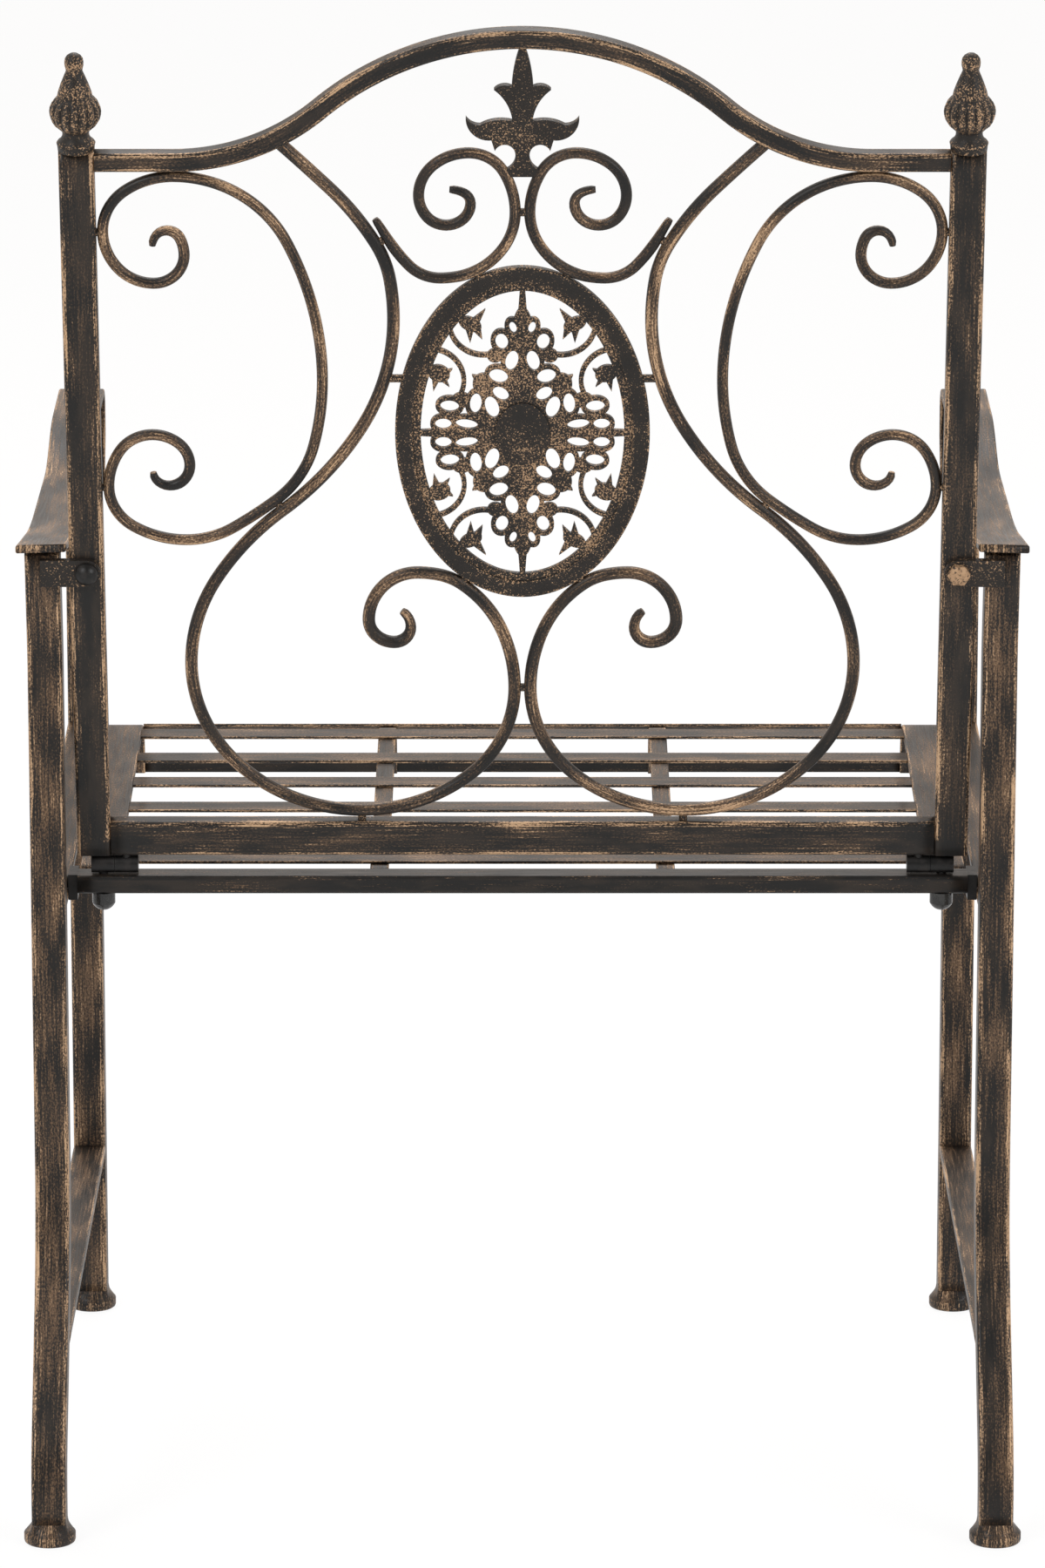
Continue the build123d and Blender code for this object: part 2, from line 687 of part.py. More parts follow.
# Feet: the square of the tube spreads into a round pad
for end, foot_y in (("front", front_leg_y), ("rear", rear_foot_y)):
    for name, side in sides:
        with BuildPart() as foot:
            with BuildSketch(Plane((side * leg_x, foot_y, foot_height))):
                RectangleRounded(leg_tube, leg_tube, tube_corner)
            with BuildSketch(Plane((side * leg_x, foot_y, foot_rim))):
                Circle(foot_radius)
            loft()
            with BuildSketch(Plane((side * leg_x, foot_y, 0))):
                Circle(foot_radius)
            extrude(amount=foot_rim)
            fillet(foot.edges().filter_by(GeomType.CIRCLE).sort_by(Axis.Z)[0], foot_edge)
        finish(foot, f"{name}_{end}_foot")

# Flat bars between the legs: a stretcher above the feet and a rail under the seat's edge
leg_front = front_leg_y + leg_tube / 2
rail_rear = rear_leg_y - leg_tube / 2


def kick_face(z):
    """Front face of the rear leg's kicked stretch at that height."""
    slant = radians(leg_kick_slant)
    return rear_leg_y + (kick_z - z) * tan(slant) - leg_tube / 2 / cos(slant)


stretcher_edges = [stretcher_height - stretcher_thickness / 2, stretcher_height + stretcher_thickness / 2]
rail_edges = [side_rail_drop - side_rail_thickness / 2, side_rail_drop + side_rail_thickness / 2]
for name, side in sides:
    with BuildPart() as stretcher:
        with BuildSketch(Plane.YZ.offset(side * leg_x)):
            low, high = stretcher_edges
            with BuildLine():
                Polyline((leg_front, low), (kick_face(low), low), (kick_face(high), high), (leg_front, high),
                         close=True)
            make_face()
        extrude(amount=leg_tube / 2, both=True)
    finish(stretcher, f"{name}_stretcher")
    with BuildPart() as side_rail:
        with BuildSketch(Plane.YZ.offset(side * leg_x)):
            corners = [(y, seat_z(y, drop)) for y, drop in zip(
                (leg_front, rail_rear, rail_rear, leg_front), rail_edges[:1] * 2 + rail_edges[1:] * 2)]
            with BuildLine():
                Polyline(*corners, close=True)
            make_face()
        extrude(amount=leg_tube / 2, both=True)
    finish(side_rail, f"{name}_side_rail")

# Tabs on the rear legs that stop the back, and the bolts that hold it there
tab_root = leg_inner + tab_on_leg
for name, side in sides:
    with BuildPart() as tab:
        with BuildSketch(back_plane.offset(tab_face)):
            with Locations((side * post_x, tab_height)):
                Circle(tab_width / 2)
            with Locations((side * (post_x + tab_root) / 2, tab_height)):
                Rectangle(tab_root - post_x, tab_width)
            with Locations((side * post_x, tab_height)):
                Circle(bolt_bore, mode=Mode.SUBTRACT)
        extrude(amount=-tab_thickness)
    finish(tab, f"{name}_tab")


def dome(radius, foot, top):
    """Half the section of a round top, from its rim at foot to its middle at top."""
    ball = (radius**2 + (top - foot) ** 2) / (2 * (top - foot))
    half_turn = atan2(radius, foot - top + ball) / 2
    ThreePointArc((radius, foot), (ball * sin(half_turn), top - ball + ball * cos(half_turn)), (0, top))


bolt_grip = tab_thickness + bolt_reach
dome_foot = {"left": bolt_flange, "right": acorn_hex_height}
dome_radius = {"left": bolt_head_radius, "right": acorn_flats / 2}
for name, side in sides:
    with BuildPart() as bolt_form:
        with BuildSketch(Plane.XZ):
            with BuildLine():
                Polyline((0, bolt_head_height), (0, -bolt_grip), (bolt_radius, -bolt_grip), (bolt_radius, 0),
                         (dome_radius[name], 0), (dome_radius[name], dome_foot[name]))
                dome(dome_radius[name], dome_foot[name], bolt_head_height)
            make_face()
        revolve(axis=Axis.Z)
        if name == "right":
            with BuildSketch():
                RegularPolygon(acorn_flats / 2, 6, major_radius=False)
            extrude(amount=acorn_hex_height)
    with BuildPart() as tab_bolt:
        seat_place = back_point(side * post_x, tab_height, tab_face - tab_thickness)
        add(Plane(seat_place, x_dir=(1, 0, 0), z_dir=-back_plane.z_dir).location * bolt_form.part)
    finish(tab_bolt, f"{name}_tab_bolt")

# Seat side plates and straps: flat, then rolled down at the front
roll_forward = seat_depth - roll_radius


def rolled_strip(x, width, under, thickness):
    """A strip under the seat's top, its left edge at x, rolled down over the front."""
    outer = roll_radius - under
    inner = outer - thickness
    front = roll_forward + outer
    with BuildPart() as strip:
        with BuildSketch(seat_side(x)):
            with BuildLine():
                Line((rail_front, -under), (roll_forward, -under))
                RadiusArc((roll_forward, -under), (front, -roll_radius), outer)
                Polyline((front, -roll_radius), (front, -roll_drop), (front - thickness, -roll_drop),
                         (front - thickness, -roll_radius))
                RadiusArc((front - thickness, -roll_radius), (roll_forward, -under - thickness), -inner)
                Polyline((roll_forward, -under - thickness), (rail_front, -under - thickness),
                         (rail_front, -under))
            make_face()
        extrude(amount=width)
    return strip


for name, side in sides:
    plate = rolled_strip(side * plate_x + plate_width / 2, plate_width, 0, plate_thickness)
    finish(plate, f"{name}_seat_plate")
    strap = rolled_strip(side * strap_x + strap_width / 2, strap_width, slat_thickness, strap_thickness)
    finish(strap, f"{name}_seat_strap")

# Slats between the plates, the last one on the roll
roll_slat = (roll_radius - slat_thickness / 2) * cos(radians(45))
slat_places = [(first_slat + index * slat_pitch, -slat_thickness / 2, 0) for index in range(slat_count)]
slat_places.append((roll_forward + roll_slat, roll_slat - roll_radius, -45))
for index, (forward, up, turn) in enumerate(slat_places, start=1):
    with BuildPart() as slat:
        with BuildSketch(seat_side(slat_reach)):
            with Locations((forward, up)):
                Rectangle(slat_width, slat_thickness, rotation=turn)
        extrude(amount=2 * slat_reach)
    finish(slat, f"seat_slat_{index}")

# Front rail under the roll, and the tube along the rear of the seat
with BuildPart() as front_rail:
    with BuildSketch(seat_side(slat_reach)):
        with Locations((seat_depth - front_rail_thickness / 2, front_rail_height / 2 - roll_drop)):
            Rectangle(front_rail_thickness, front_rail_height)
    extrude(amount=2 * slat_reach)
finish(front_rail, "seat_front_rail")

hinge_forward = (hinge_z - seat_height) * slope_sin
hinge_up = (hinge_z - seat_height) * slope_cos
rail_middle_forward = rail_front - rear_rail_depth / 2


def bore_for_hinges():
    for name, side in sides:
        with BuildSketch(seat_top(side * lower_shank_x, hinge_forward, 0)) as bore:
            Circle(shank_radius)
        extrude(bore.sketch, amount=-rear_rail_height, mode=Mode.SUBTRACT)


def bore_for_seat_bolts(forward):
    for name, side in sides:
        with BuildSketch(lug_end(side * leg_inner, forward)) as bore:
            Circle(lug_bolt_radius)
        extrude(bore.sketch, amount=-lug_bolt_length, mode=Mode.SUBTRACT)


with BuildPart() as rear_rail:
    with BuildSketch(seat_side(post_outer)):
        with Locations((rail_middle_forward, -rear_rail_height / 2)):
            square_tube(rear_rail_depth, rear_rail_height)
    extrude(amount=2 * post_outer)
    bore_for_hinges()
finish(rear_rail, "seat_rear_rail")

with BuildPart() as plugs:
    for start in (post_outer, plug_length - post_outer):
        with BuildSketch(seat_side(start)):
            with Locations((rail_middle_forward, -rear_rail_height / 2)):
                RectangleRounded(rear_rail_depth - 2 * tube_wall, rear_rail_height - 2 * tube_wall,
                                 tube_corner - tube_wall)
        extrude(amount=plug_length)
    bore_for_hinges()
    bore_for_seat_bolts(rear_lug)
finish(plugs, "rear_rail_plugs")

# Blocks under the side plates, lugs on the side rails, and the bolts that join them
with BuildPart() as blocks:
    for start in (post_outer, block_width - post_outer):
        with BuildSketch(seat_side(start)):
            with Locations((front_lug, -plate_thickness - block_height / 2)):
                Rectangle(block_length, block_height)
        extrude(amount=block_width)
    bore_for_seat_bolts(front_lug)
finish(blocks, "seat_blocks")

lug_height = side_rail_drop + side_rail_thickness / 2
with BuildPart() as lugs:
    for forward in (rear_lug, front_lug):
        for start in (leg_inner, -post_outer):
            with BuildSketch(seat_side(start)):
                with Locations((forward, -lug_height / 2)):
                    Rectangle(lug_length, lug_height)
            extrude(amount=post_leg_gap)
        bore_for_seat_bolts(forward)
finish(lugs, "seat_lugs")

with BuildPart() as bolt_shape:
    Cylinder(lug_bolt_head, lug_bolt_head_height, align=(Align.CENTER, Align.CENTER, Align.MIN))
    fillet(bolt_shape.edges().group_by(Axis.Z)[-1], lug_bolt_edge)
    with BuildSketch():
        Circle(lug_bolt_radius)
    extrude(amount=-lug_bolt_length)
with BuildPart() as seat_bolts:
    for forward in (rear_lug, front_lug):
        for name, side in sides:
            add(lug_end(side * leg_inner, forward).location * bolt_shape.part)
finish(seat_bolts, "seat_bolts")

# Hinges: each lower knuckle is bolted through the rear rail, each upper one stands in the bottom rail
knuckle_length = (hinge_length - knuckle_side_gap) / 2
shank_end = rear_rail_height + nut_height + shank_past_nut


def barrel(x, length, radius, mode=Mode.ADD):
    with BuildSketch(Plane.YZ.offset(x)) as end:
        with Locations((hinge_y, hinge_z)):
            Circle(radius)
    extrude(end.sketch, amount=length, mode=mode)


for name, side in sides:
    with BuildPart() as lower_knuckle:
        barrel(side * hinge_outer_x, -side * knuckle_length, knuckle_radius)
        with BuildSketch(seat_top(side * lower_shank_x, hinge_forward, -hinge_up)):
            Circle(shank_radius)
        extrude(amount=-hinge_up - shank_end)
        barrel(side * hinge_outer_x, -side * knuckle_length, hinge_pin_radius, Mode.SUBTRACT)
    finish(lower_knuckle, f"{name}_lower_knuckle")
    with BuildPart() as upper_knuckle:
        inner_end = side * (hinge_outer_x - hinge_length)
        barrel(inner_end, side * knuckle_length, knuckle_radius)
        with BuildSketch(up_the_back(side * upper_shank_x, 0)):
            Circle(shank_radius)
        extrude(amount=frame_bottom + shank_in_back)
        barrel(inner_end, side * knuckle_length, hinge_pin_radius + hinge_running_gap, Mode.SUBTRACT)
    finish(upper_knuckle, f"{name}_upper_knuckle")

with BuildPart() as hinge_pins:
    for name, side in sides:
        barrel(side * hinge_outer_x, -side * hinge_length, hinge_pin_radius)
finish(hinge_pins, "hinge_pins")

with BuildPart() as nuts:
    for name, side in sides:
        with BuildSketch(seat_top(side * lower_shank_x, hinge_forward, rear_rail_height)):
            RegularPolygon(nut_flats / 2, 6, major_radius=False)
            Circle(shank_radius, mode=Mode.SUBTRACT)
        extrude(amount=-nut_height)
finish(nuts, "hinge_nuts")

# Domed caps over the hinge nuts
with BuildPart() as cap_form:
    with BuildSketch(Plane.XZ):
        with BuildLine():
            Polyline((0, cap_height), (0, 0), (cap_radius, 0), (cap_radius, cap_height - cap_dome))
            dome(cap_radius, cap_height - cap_dome, cap_height)
        make_face()
    revolve(axis=Axis.Z)
    offset(amount=-cap_wall, openings=cap_form.faces().sort_by(Axis.Z)[0])
with BuildPart() as caps:
    for name, side in sides:
        under_rail = seat_top(side * lower_shank_x, hinge_forward, rear_rail_height)
        add(Plane(under_rail.origin, x_dir=(1, 0, 0), z_dir=-under_rail.z_dir).location * cap_form.part)
finish(caps, "hinge_caps")
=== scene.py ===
import json
from itertools import count
from math import atan2, cos, degrees, pi, radians, sin, sqrt, tan

import bmesh
import bpy
import numpy as np
from mathutils import Euler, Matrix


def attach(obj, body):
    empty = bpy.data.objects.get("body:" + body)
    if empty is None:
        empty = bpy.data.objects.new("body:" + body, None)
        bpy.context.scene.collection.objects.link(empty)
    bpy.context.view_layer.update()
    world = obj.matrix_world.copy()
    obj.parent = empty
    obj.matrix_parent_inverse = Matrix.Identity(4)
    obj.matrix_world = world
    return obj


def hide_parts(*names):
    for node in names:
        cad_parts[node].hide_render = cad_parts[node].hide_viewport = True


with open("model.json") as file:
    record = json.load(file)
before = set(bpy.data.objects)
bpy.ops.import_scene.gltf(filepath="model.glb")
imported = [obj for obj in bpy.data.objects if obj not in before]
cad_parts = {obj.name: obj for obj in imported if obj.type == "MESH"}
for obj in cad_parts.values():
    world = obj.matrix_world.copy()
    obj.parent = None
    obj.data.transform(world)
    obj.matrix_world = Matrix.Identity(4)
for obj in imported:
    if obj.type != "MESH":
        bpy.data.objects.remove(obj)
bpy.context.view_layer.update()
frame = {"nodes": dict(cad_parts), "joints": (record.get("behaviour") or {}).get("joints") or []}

mm = 0.001
tiny = 1e-6
sides = (("left", 1), ("right", -1))

# The back's plane leans at the hinge; the seat's plane falls towards the back. Lengths are in millimetres.
joint = next(item for item in frame["joints"] if item["name"] == "back_fold")
hinge = np.array(joint["pos_m"])
lean = radians(12.0)
slope = radians(3.3)
seatTop = 412.5
across = np.array([1.0, 0.0, 0.0])
upBack = np.array([0.0, sin(lean), cos(lean)])
toSitter = np.array([0.0, -cos(lean), sin(lean)])
forwardSeat = np.array([0.0, -cos(slope), sin(slope)])
upSeat = np.array([0.0, sin(slope), cos(slope)])
seatOrigin = np.array([0.0, hinge[1], seatTop * mm])


def onBack(points):
    points = np.asarray(points, float) * mm
    return hinge + points[:, :1] * across + points[:, 1:] * upBack


def onSeat(points, x=0.0):
    points = np.asarray(points, float) * mm
    return seatOrigin + points[:, :1] * forwardSeat + points[:, 1:] * upSeat + x * mm * across


def onSide(points, x):
    points = np.asarray(points, float) * mm
    return np.column_stack([np.full(len(points), x * mm), points])


# Paths

def straightPath(start, end, step=12.0):
    steps = max(2, int(np.hypot(*(np.array(end) - start)) / step) + 1)
    return np.linspace(start, end, steps)


# Tangent arc: the circle that leaves start along way and passes through end, sampled evenly by angle.
def tangentArc(start, end, way, step):
    chord = end - start
    turn = 2 * (atan2(chord[1], chord[0]) - atan2(way[1], way[0]))
    turn = (turn + 2 * pi) % (4 * pi) - 2 * pi
    length = np.hypot(*chord)
    if abs(turn) < tiny:
        return np.linspace(start, end, max(2, int(length / step) + 1))
    radius = length / (2 * sin(abs(turn) / 2))
    centre = start + radius * np.array([-way[1], way[0]]) * np.sign(turn)
    angles = np.linspace(0, turn, max(3, int(radius * abs(turn) / step) + 1))
    arm = start - centre
    return centre + np.column_stack([arm[0] * np.cos(angles) - arm[1] * np.sin(angles),
                                     arm[0] * np.sin(angles) + arm[1] * np.cos(angles)])


def wayOf(turn):
    return np.array([cos(radians(turn)), sin(radians(turn))])


# Stations are (place, heading): between two of them run two arcs that meet on a common tangent.
def scrollPath(stations, step=2.0):
    runs = []
    for (start, startTurn), (end, endTurn) in zip(stations, stations[1:]):
        startWay, endWay = wayOf(startTurn), wayOf(endTurn)
        chord = end - start
        along = chord @ (startWay + endWay)
        spread = 2 * (1 - startWay @ endWay)
        if spread < tiny:
            reach = chord @ chord / (4 * (chord @ endWay))
        else:
            reach = (sqrt(along ** 2 + spread * (chord @ chord)) - along) / spread
        middle = (start + end + (startWay - endWay) * reach) / 2
        turn = (middle - start) / np.hypot(*(middle - start))
        runs.append(tangentArc(start, middle, startWay, step)[:-1])
        runs.append(tangentArc(middle, end, turn * (2 * (turn @ startWay)) - startWay, step)[:-1])
    runs.append(stations[-1][0][None, :])
    return np.vstack(runs)


bendSteps = dict(straight=14.0, least=0.35, ofRadius=0.15)


# Straight runs between corners, each corner rounded by an arc of its own radius.
def filletPath(corners, radii, step=6.0):
    corners = [np.array(corner, float) for corner in corners]
    runs, last = [], corners[0]
    for before, corner, after, radius in zip(corners, corners[1:], corners[2:], radii):
        inWay = (corner - before) / np.hypot(*(corner - before))
        outWay = (after - corner) / np.hypot(*(after - corner))
        bend = np.arccos(np.clip(inWay @ outWay, -1, 1))
        cut = radius * tan(bend / 2)
        start, end = corner - inWay * cut, corner + outWay * cut
        runs.append(straightPath(last, start, bendSteps["straight"])[:-1])
        arcStep = max(step * bendSteps["least"], min(step, radius * bendSteps["ofRadius"]))
        runs.append(tangentArc(start, end, inWay, arcStep)[:-1])
        last = end
    runs.append(straightPath(last, corners[-1], bendSteps["straight"]))
    return np.vstack(runs)


# Profiles: points round a section in millimetres, and how much each one lies on an edge
edgeShare = dict(flat=0.0, near=0.35, corner=1.0)
leastFlat = 2


# Circle: points at even angles.
def roundProfile(diameter, around=20):
    angles = np.arange(around) * 2 * pi / around
    points = diameter / 2 * np.column_stack([np.cos(angles), np.sin(angles)])
    return points, np.full(around, edgeShare["near"])


# Rounded rectangle: quarter arcs at the corners, flats with a support point close to each arc.
def boxProfile(width, height, corner, segments=4, support=0.5):
    points, edge = [], []
    for quarter in range(4):
        centre = np.array([(width / 2 - corner) * (1 if quarter in (0, 3) else -1),
                           (height / 2 - corner) * (1 if quarter in (0, 1) else -1)])
        angles = (quarter + np.linspace(0, 1, segments + 1)) * pi / 2
        arc = centre + corner * np.column_stack([np.cos(angles), np.sin(angles)])
        inWay = np.array([sin(quarter * pi / 2), -cos(quarter * pi / 2)])
        outWay = np.array([-sin((quarter + 1) * pi / 2), cos((quarter + 1) * pi / 2)])
        points += [arc[0] + inWay * support, *arc, arc[-1] + outWay * support]
        edge += [edgeShare["near"], *[edgeShare["corner"]] * (segments + 1), edgeShare["near"]]
        flat = (width if quarter % 2 == 0 else height) - 2 * corner - 2 * support
        if flat > leastFlat:
            points.append(arc[-1] + outWay * (support + flat / 2))
            edge.append(edgeShare["flat"])
    return np.array(points), np.array(edge)


# Each piece's paint starts at its own place in the pattern
pieceNumbers = count(1)
seedStep = np.array([0.737, 0.291])
taper = dict(radii=6, share=0.3, roundPart=5, roundShare=0.12)


def newPiece(name, points, faces, uv, edge, body, material, nodes):
    mesh = bpy.data.meshes.new(name)
    mesh.from_pydata(points.tolist(), [], faces)
    layer = mesh.uv_layers.new(name="lengthMap")
    layer.data.foreach_set("uv", np.concatenate(uv).astype(np.float32).ravel())
    wear = mesh.attributes.new("edgeWear", "FLOAT", "POINT")
    wear.data.foreach_set("value", np.asarray(edge, np.float32))
    mesh.polygons.foreach_set("use_smooth", np.ones(len(faces), bool))
    mesh.materials.append(material)
    mesh.update()
    piece = bpy.data.objects.new(name, mesh)
    bpy.context.scene.collection.objects.link(piece)
    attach(piece, body)
    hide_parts(*nodes)


# A profile carried along a path in one plane: each ring stands square to the path, its first direction in
# the path's plane and its second along the plane's normal. UV is length along and round, in metres.
def barAlong(name, path, normal, profile, body, material, nodes, closed=False, tips=(False, False),
             shift=None):
    section, edge = profile
    section = section * mm
    if closed:
        way = np.roll(path, -1, 0) - np.roll(path, 1, 0)
    else:
        way = np.gradient(path, axis=0)
    way /= np.linalg.norm(way, axis=1)[:, None]
    aside = np.cross(normal, way)
    run = np.concatenate([[0], np.cumsum(np.linalg.norm(np.diff(path, axis=0), axis=1))])
    scale = np.ones(len(path))
    radius = np.abs(section).max()
    taperLength = taper["radii"] * radius
    for tip, fromEnd in zip(tips, (run, run[-1] - run)):
        if tip:
            narrowing = taper["share"] * np.clip(1 - fromEnd / taperLength, 0, 1)
            scale *= 1 - narrowing - taper["roundShare"] * (fromEnd < radius / taper["roundPart"])
    rings = (path[:, None, :] + scale[:, None, None] * (section[None, :, :1] * aside[:, None, :]
                                                        + section[None, :, 1:] * normal[None, None, :]))
    if shift is not None:
        for index, slant in shift.items():
            rings[index] += (section @ np.array(slant))[:, None] * way[index]
    long, around = len(path), len(section)
    loops = np.arange(long * around).reshape(long, around)
    beyond = np.roll(loops, -1, 1)
    perimeter = np.concatenate([[0], np.cumsum(np.linalg.norm(
        np.diff(np.vstack([section, section[:1]]), axis=0), axis=1))])
    if closed:
        rows, nextRows = np.arange(long), (np.arange(long) + 1) % long
        lengths = np.append(run, run[-1] + np.linalg.norm(path[0] - path[-1]))
    else:
        rows, nextRows = np.arange(long - 1), np.arange(1, long)
        lengths = run
    quad = np.stack([loops[rows], loops[nextRows], beyond[nextRows], beyond[rows]], -1)
    seed = next(pieceNumbers) * seedStep
    low, high = lengths[:-1][:, None], lengths[1:][:, None]
    left, right = perimeter[:-1][None, :], perimeter[1:][None, :]
    shape = (len(rows), around)
    uv = np.stack([np.stack(np.broadcast_arrays(u, v), -1).reshape(*shape, 2)
                   for u, v in ((low, left), (high, left), (high, right), (low, right))], 2) + seed
    faces = quad.reshape(-1, 4).tolist()
    uvs = [uv.reshape(-1, 2)]
    if not closed:
        faces += [loops[0].tolist(), loops[-1][::-1].tolist()]
        uvs += [section + seed, section[::-1] + seed]
    newPiece(name, rings.reshape(-1, 3), faces, uvs, np.tile(edge, long), body, material, nodes)


# A surface of revolution about an axis: rows are heights, columns are angles. Swell is added to the radius as
# a share of it, wear is how gilded the paint is; both are functions of height and angle.
def turnedPiece(name, base, axis, heights, radii, around, swell, wear, body, material, nodes):
    angles = np.arange(around) * 2 * pi / around
    firstWay = np.cross(axis, across)
    firstWay /= np.linalg.norm(firstWay)
    ring = np.cos(angles)[:, None] * across + np.sin(angles)[:, None] * firstWay
    radius = radii[:, None] * (1 + swell(heights[:, None], angles[None, :]))
    grid = base + (heights * mm)[:, None, None] * axis + (radius * mm)[:, :, None] * ring[None]
    loops = np.arange(len(heights) * around).reshape(len(heights), around)
    beyond = np.roll(loops, -1, 1)
    quad = np.stack([loops[:-1], beyond[:-1], beyond[1:], loops[1:]], -1)
    seed = next(pieceNumbers) * seedStep
    up = heights * mm
    turn = np.arange(around + 1) * 2 * pi / around * max(radii) * mm
    uv = np.stack([np.stack(np.broadcast_arrays(u, v), -1) for u, v in (
        (up[:-1, None], turn[None, :-1]), (up[:-1, None], turn[None, 1:]),
        (up[1:, None], turn[None, 1:]), (up[1:, None], turn[None, :-1]))], 2) + seed
    faces = quad.reshape(-1, 4).tolist() + [loops[0][::-1].tolist(), loops[-1].tolist()]
    disc = np.column_stack([np.cos(angles), np.sin(angles)]) * mm
    uvs = [uv.reshape(-1, 2), disc + seed, disc + seed]
    edge = np.broadcast_to(wear(heights[:, None], angles[None, :]), grid.shape[:2])
    newPiece(name, grid.reshape(-1, 3), faces, uvs, edge.ravel(), body, material, nodes)


# Materials

def newMaterial(name):
    material = bpy.data.materials.new(name)
    material.use_nodes = True
    nodes = material.node_tree.nodes
    nodes.clear()
    shader = nodes.new("ShaderNodeBsdfPrincipled")
    output = nodes.new("ShaderNodeOutputMaterial")
    shader.inputs["Specular IOR Level"].default_value = paint["specular"]
    material.node_tree.links.new(shader.outputs["BSDF"], output.inputs["Surface"])
    return material, shader


def wire(material, source, target):
    material.node_tree.links.new(source, target)


def noise(material, vector, scale, detail=3.0, roughness=0.55):
    tree = material.node_tree
    mapping = tree.nodes.new("ShaderNodeMapping")
    mapping.inputs["Scale"].default_value = scale
    wire(material, vector, mapping.inputs["Vector"])
    texture = tree.nodes.new("ShaderNodeTexNoise")
    texture.inputs["Scale"].default_value = 1.0
    texture.inputs["Detail"].default_value = detail
    texture.inputs["Roughness"].default_value = roughness
    wire(material, mapping.outputs["Vector"], texture.inputs["Vector"])
    return texture.outputs["Fac"]


def maths(material, operation, first, second):
    node = material.node_tree.nodes.new("ShaderNodeMath")
    node.operation = operation
    for socket, value in zip(node.inputs, (first, second)):
        if isinstance(value, (int, float)):
            socket.default_value = value
        else:
            wire(material, value, socket)
    return node.outputs["Value"]


def ramp(material, factor, low, high, start=0.0, end=1.0):
    node = material.node_tree.nodes.new("ShaderNodeMapRange")
    node.interpolation_type = "SMOOTHSTEP"
    for key, value in (("From Min", low), ("From Max", high), ("To Min", start), ("To Max", end)):
        node.inputs[key].default_value = value
    wire(material, factor, node.inputs["Value"])
    return node.outputs["Result"]


# The colour sockets of a Mix node are its inputs 6 and 7 and its output 2.
def mixColour(material, factor, first, second):
    node = material.node_tree.nodes.new("ShaderNodeMix")
    node.data_type = "RGBA"
    wire(material, factor, node.inputs["Factor"])
    for socket, value in ((node.inputs[6], first), (node.inputs[7], second)):
        if isinstance(value, tuple):
            socket.default_value = (*value, 1.0)
        else:
            wire(material, value, socket)
    return node.outputs[2]


def addBump(material, shader, height, strength, distance):
    bump = material.node_tree.nodes.new("ShaderNodeBump")
    bump.inputs["Strength"].default_value = strength
    bump.inputs["Distance"].default_value = distance
    wire(material, height, bump.inputs["Height"])
    wire(material, bump.outputs["Normal"], shader.inputs["Normal"])


paint = dict(charcoal=(0.0095, 0.009, 0.0086), umber=(0.022, 0.017, 0.0135), bronze=(0.25, 0.148, 0.082),
             paleBronze=(0.47, 0.31, 0.185), specular=0.26, metal=0.25)
touchUp = dict(middle=(0.2625, 0.1515, 0.4275), reach=(0.018, 0.03, 0.010), grain=260, ragged=1.6,
               rim=(0.75, 1.25))


def setMaterial(mesh, material):
    mesh.materials.clear()
    mesh.materials.append(material)


def added(material, first, *others):
    for other in others:
        first = maths(material, "ADD", first, other)
    return first


def scaled(material, value, factor):
    return maths(material, "MULTIPLY", value, factor)


# Centred noise: the noise about its middle, times a weight.
def centred(material, value, weight):
    return scaled(material, maths(material, "SUBTRACT", value, 0.5), weight)


# Black touch-up beside the hinges: an oval patch on both sides, its rim broken up by noise.
def touchUpMask(material):
    place = material.node_tree.nodes.new("ShaderNodeTexCoord").outputs["Object"]
    split = material.node_tree.nodes.new("ShaderNodeSeparateXYZ")
    wire(material, place, split.inputs["Vector"])
    terms = []
    for axis, middle, reach in zip("XYZ", touchUp["middle"], touchUp["reach"]):
        value = split.outputs[axis]
        if axis == "X":
            value = maths(material, "ABSOLUTE", value, 0.0)
        apart = scaled(material, maths(material, "SUBTRACT", value, middle), 1 / reach)
        terms.append(maths(material, "POWER", apart, 2.0))
    ragged = noise(material, place, (touchUp["grain"],) * 3)
    terms.append(centred(material, ragged, touchUp["ragged"]))
    return ramp(material, added(material, *terms), *touchUp["rim"])


# Noise scales per metre, along a bar and round it
brushMarks = dict(hairs=(60, 1900, 1), strokes=(26, 760, 1), dots=(600, 1000, 1), patches=(16, 70, 1),
                  tone=(30, 90, 1))
castMarks = dict(clouds=38, plainClouds=160)

# Noise levels between which each layer of paint sets in, and those between which the shine changes
paintLevels = dict(flakes=(0.60, 0.76), haze=(0.45, 0.63), grains=(0.54, 0.66))
shineSpan = (0.3, 0.7)


def covered(material, amount, layer, cover, most=1.0):
    low, high = paintLevels[layer]
    return ramp(material, amount, low - cover, high - cover, 0.0, most)


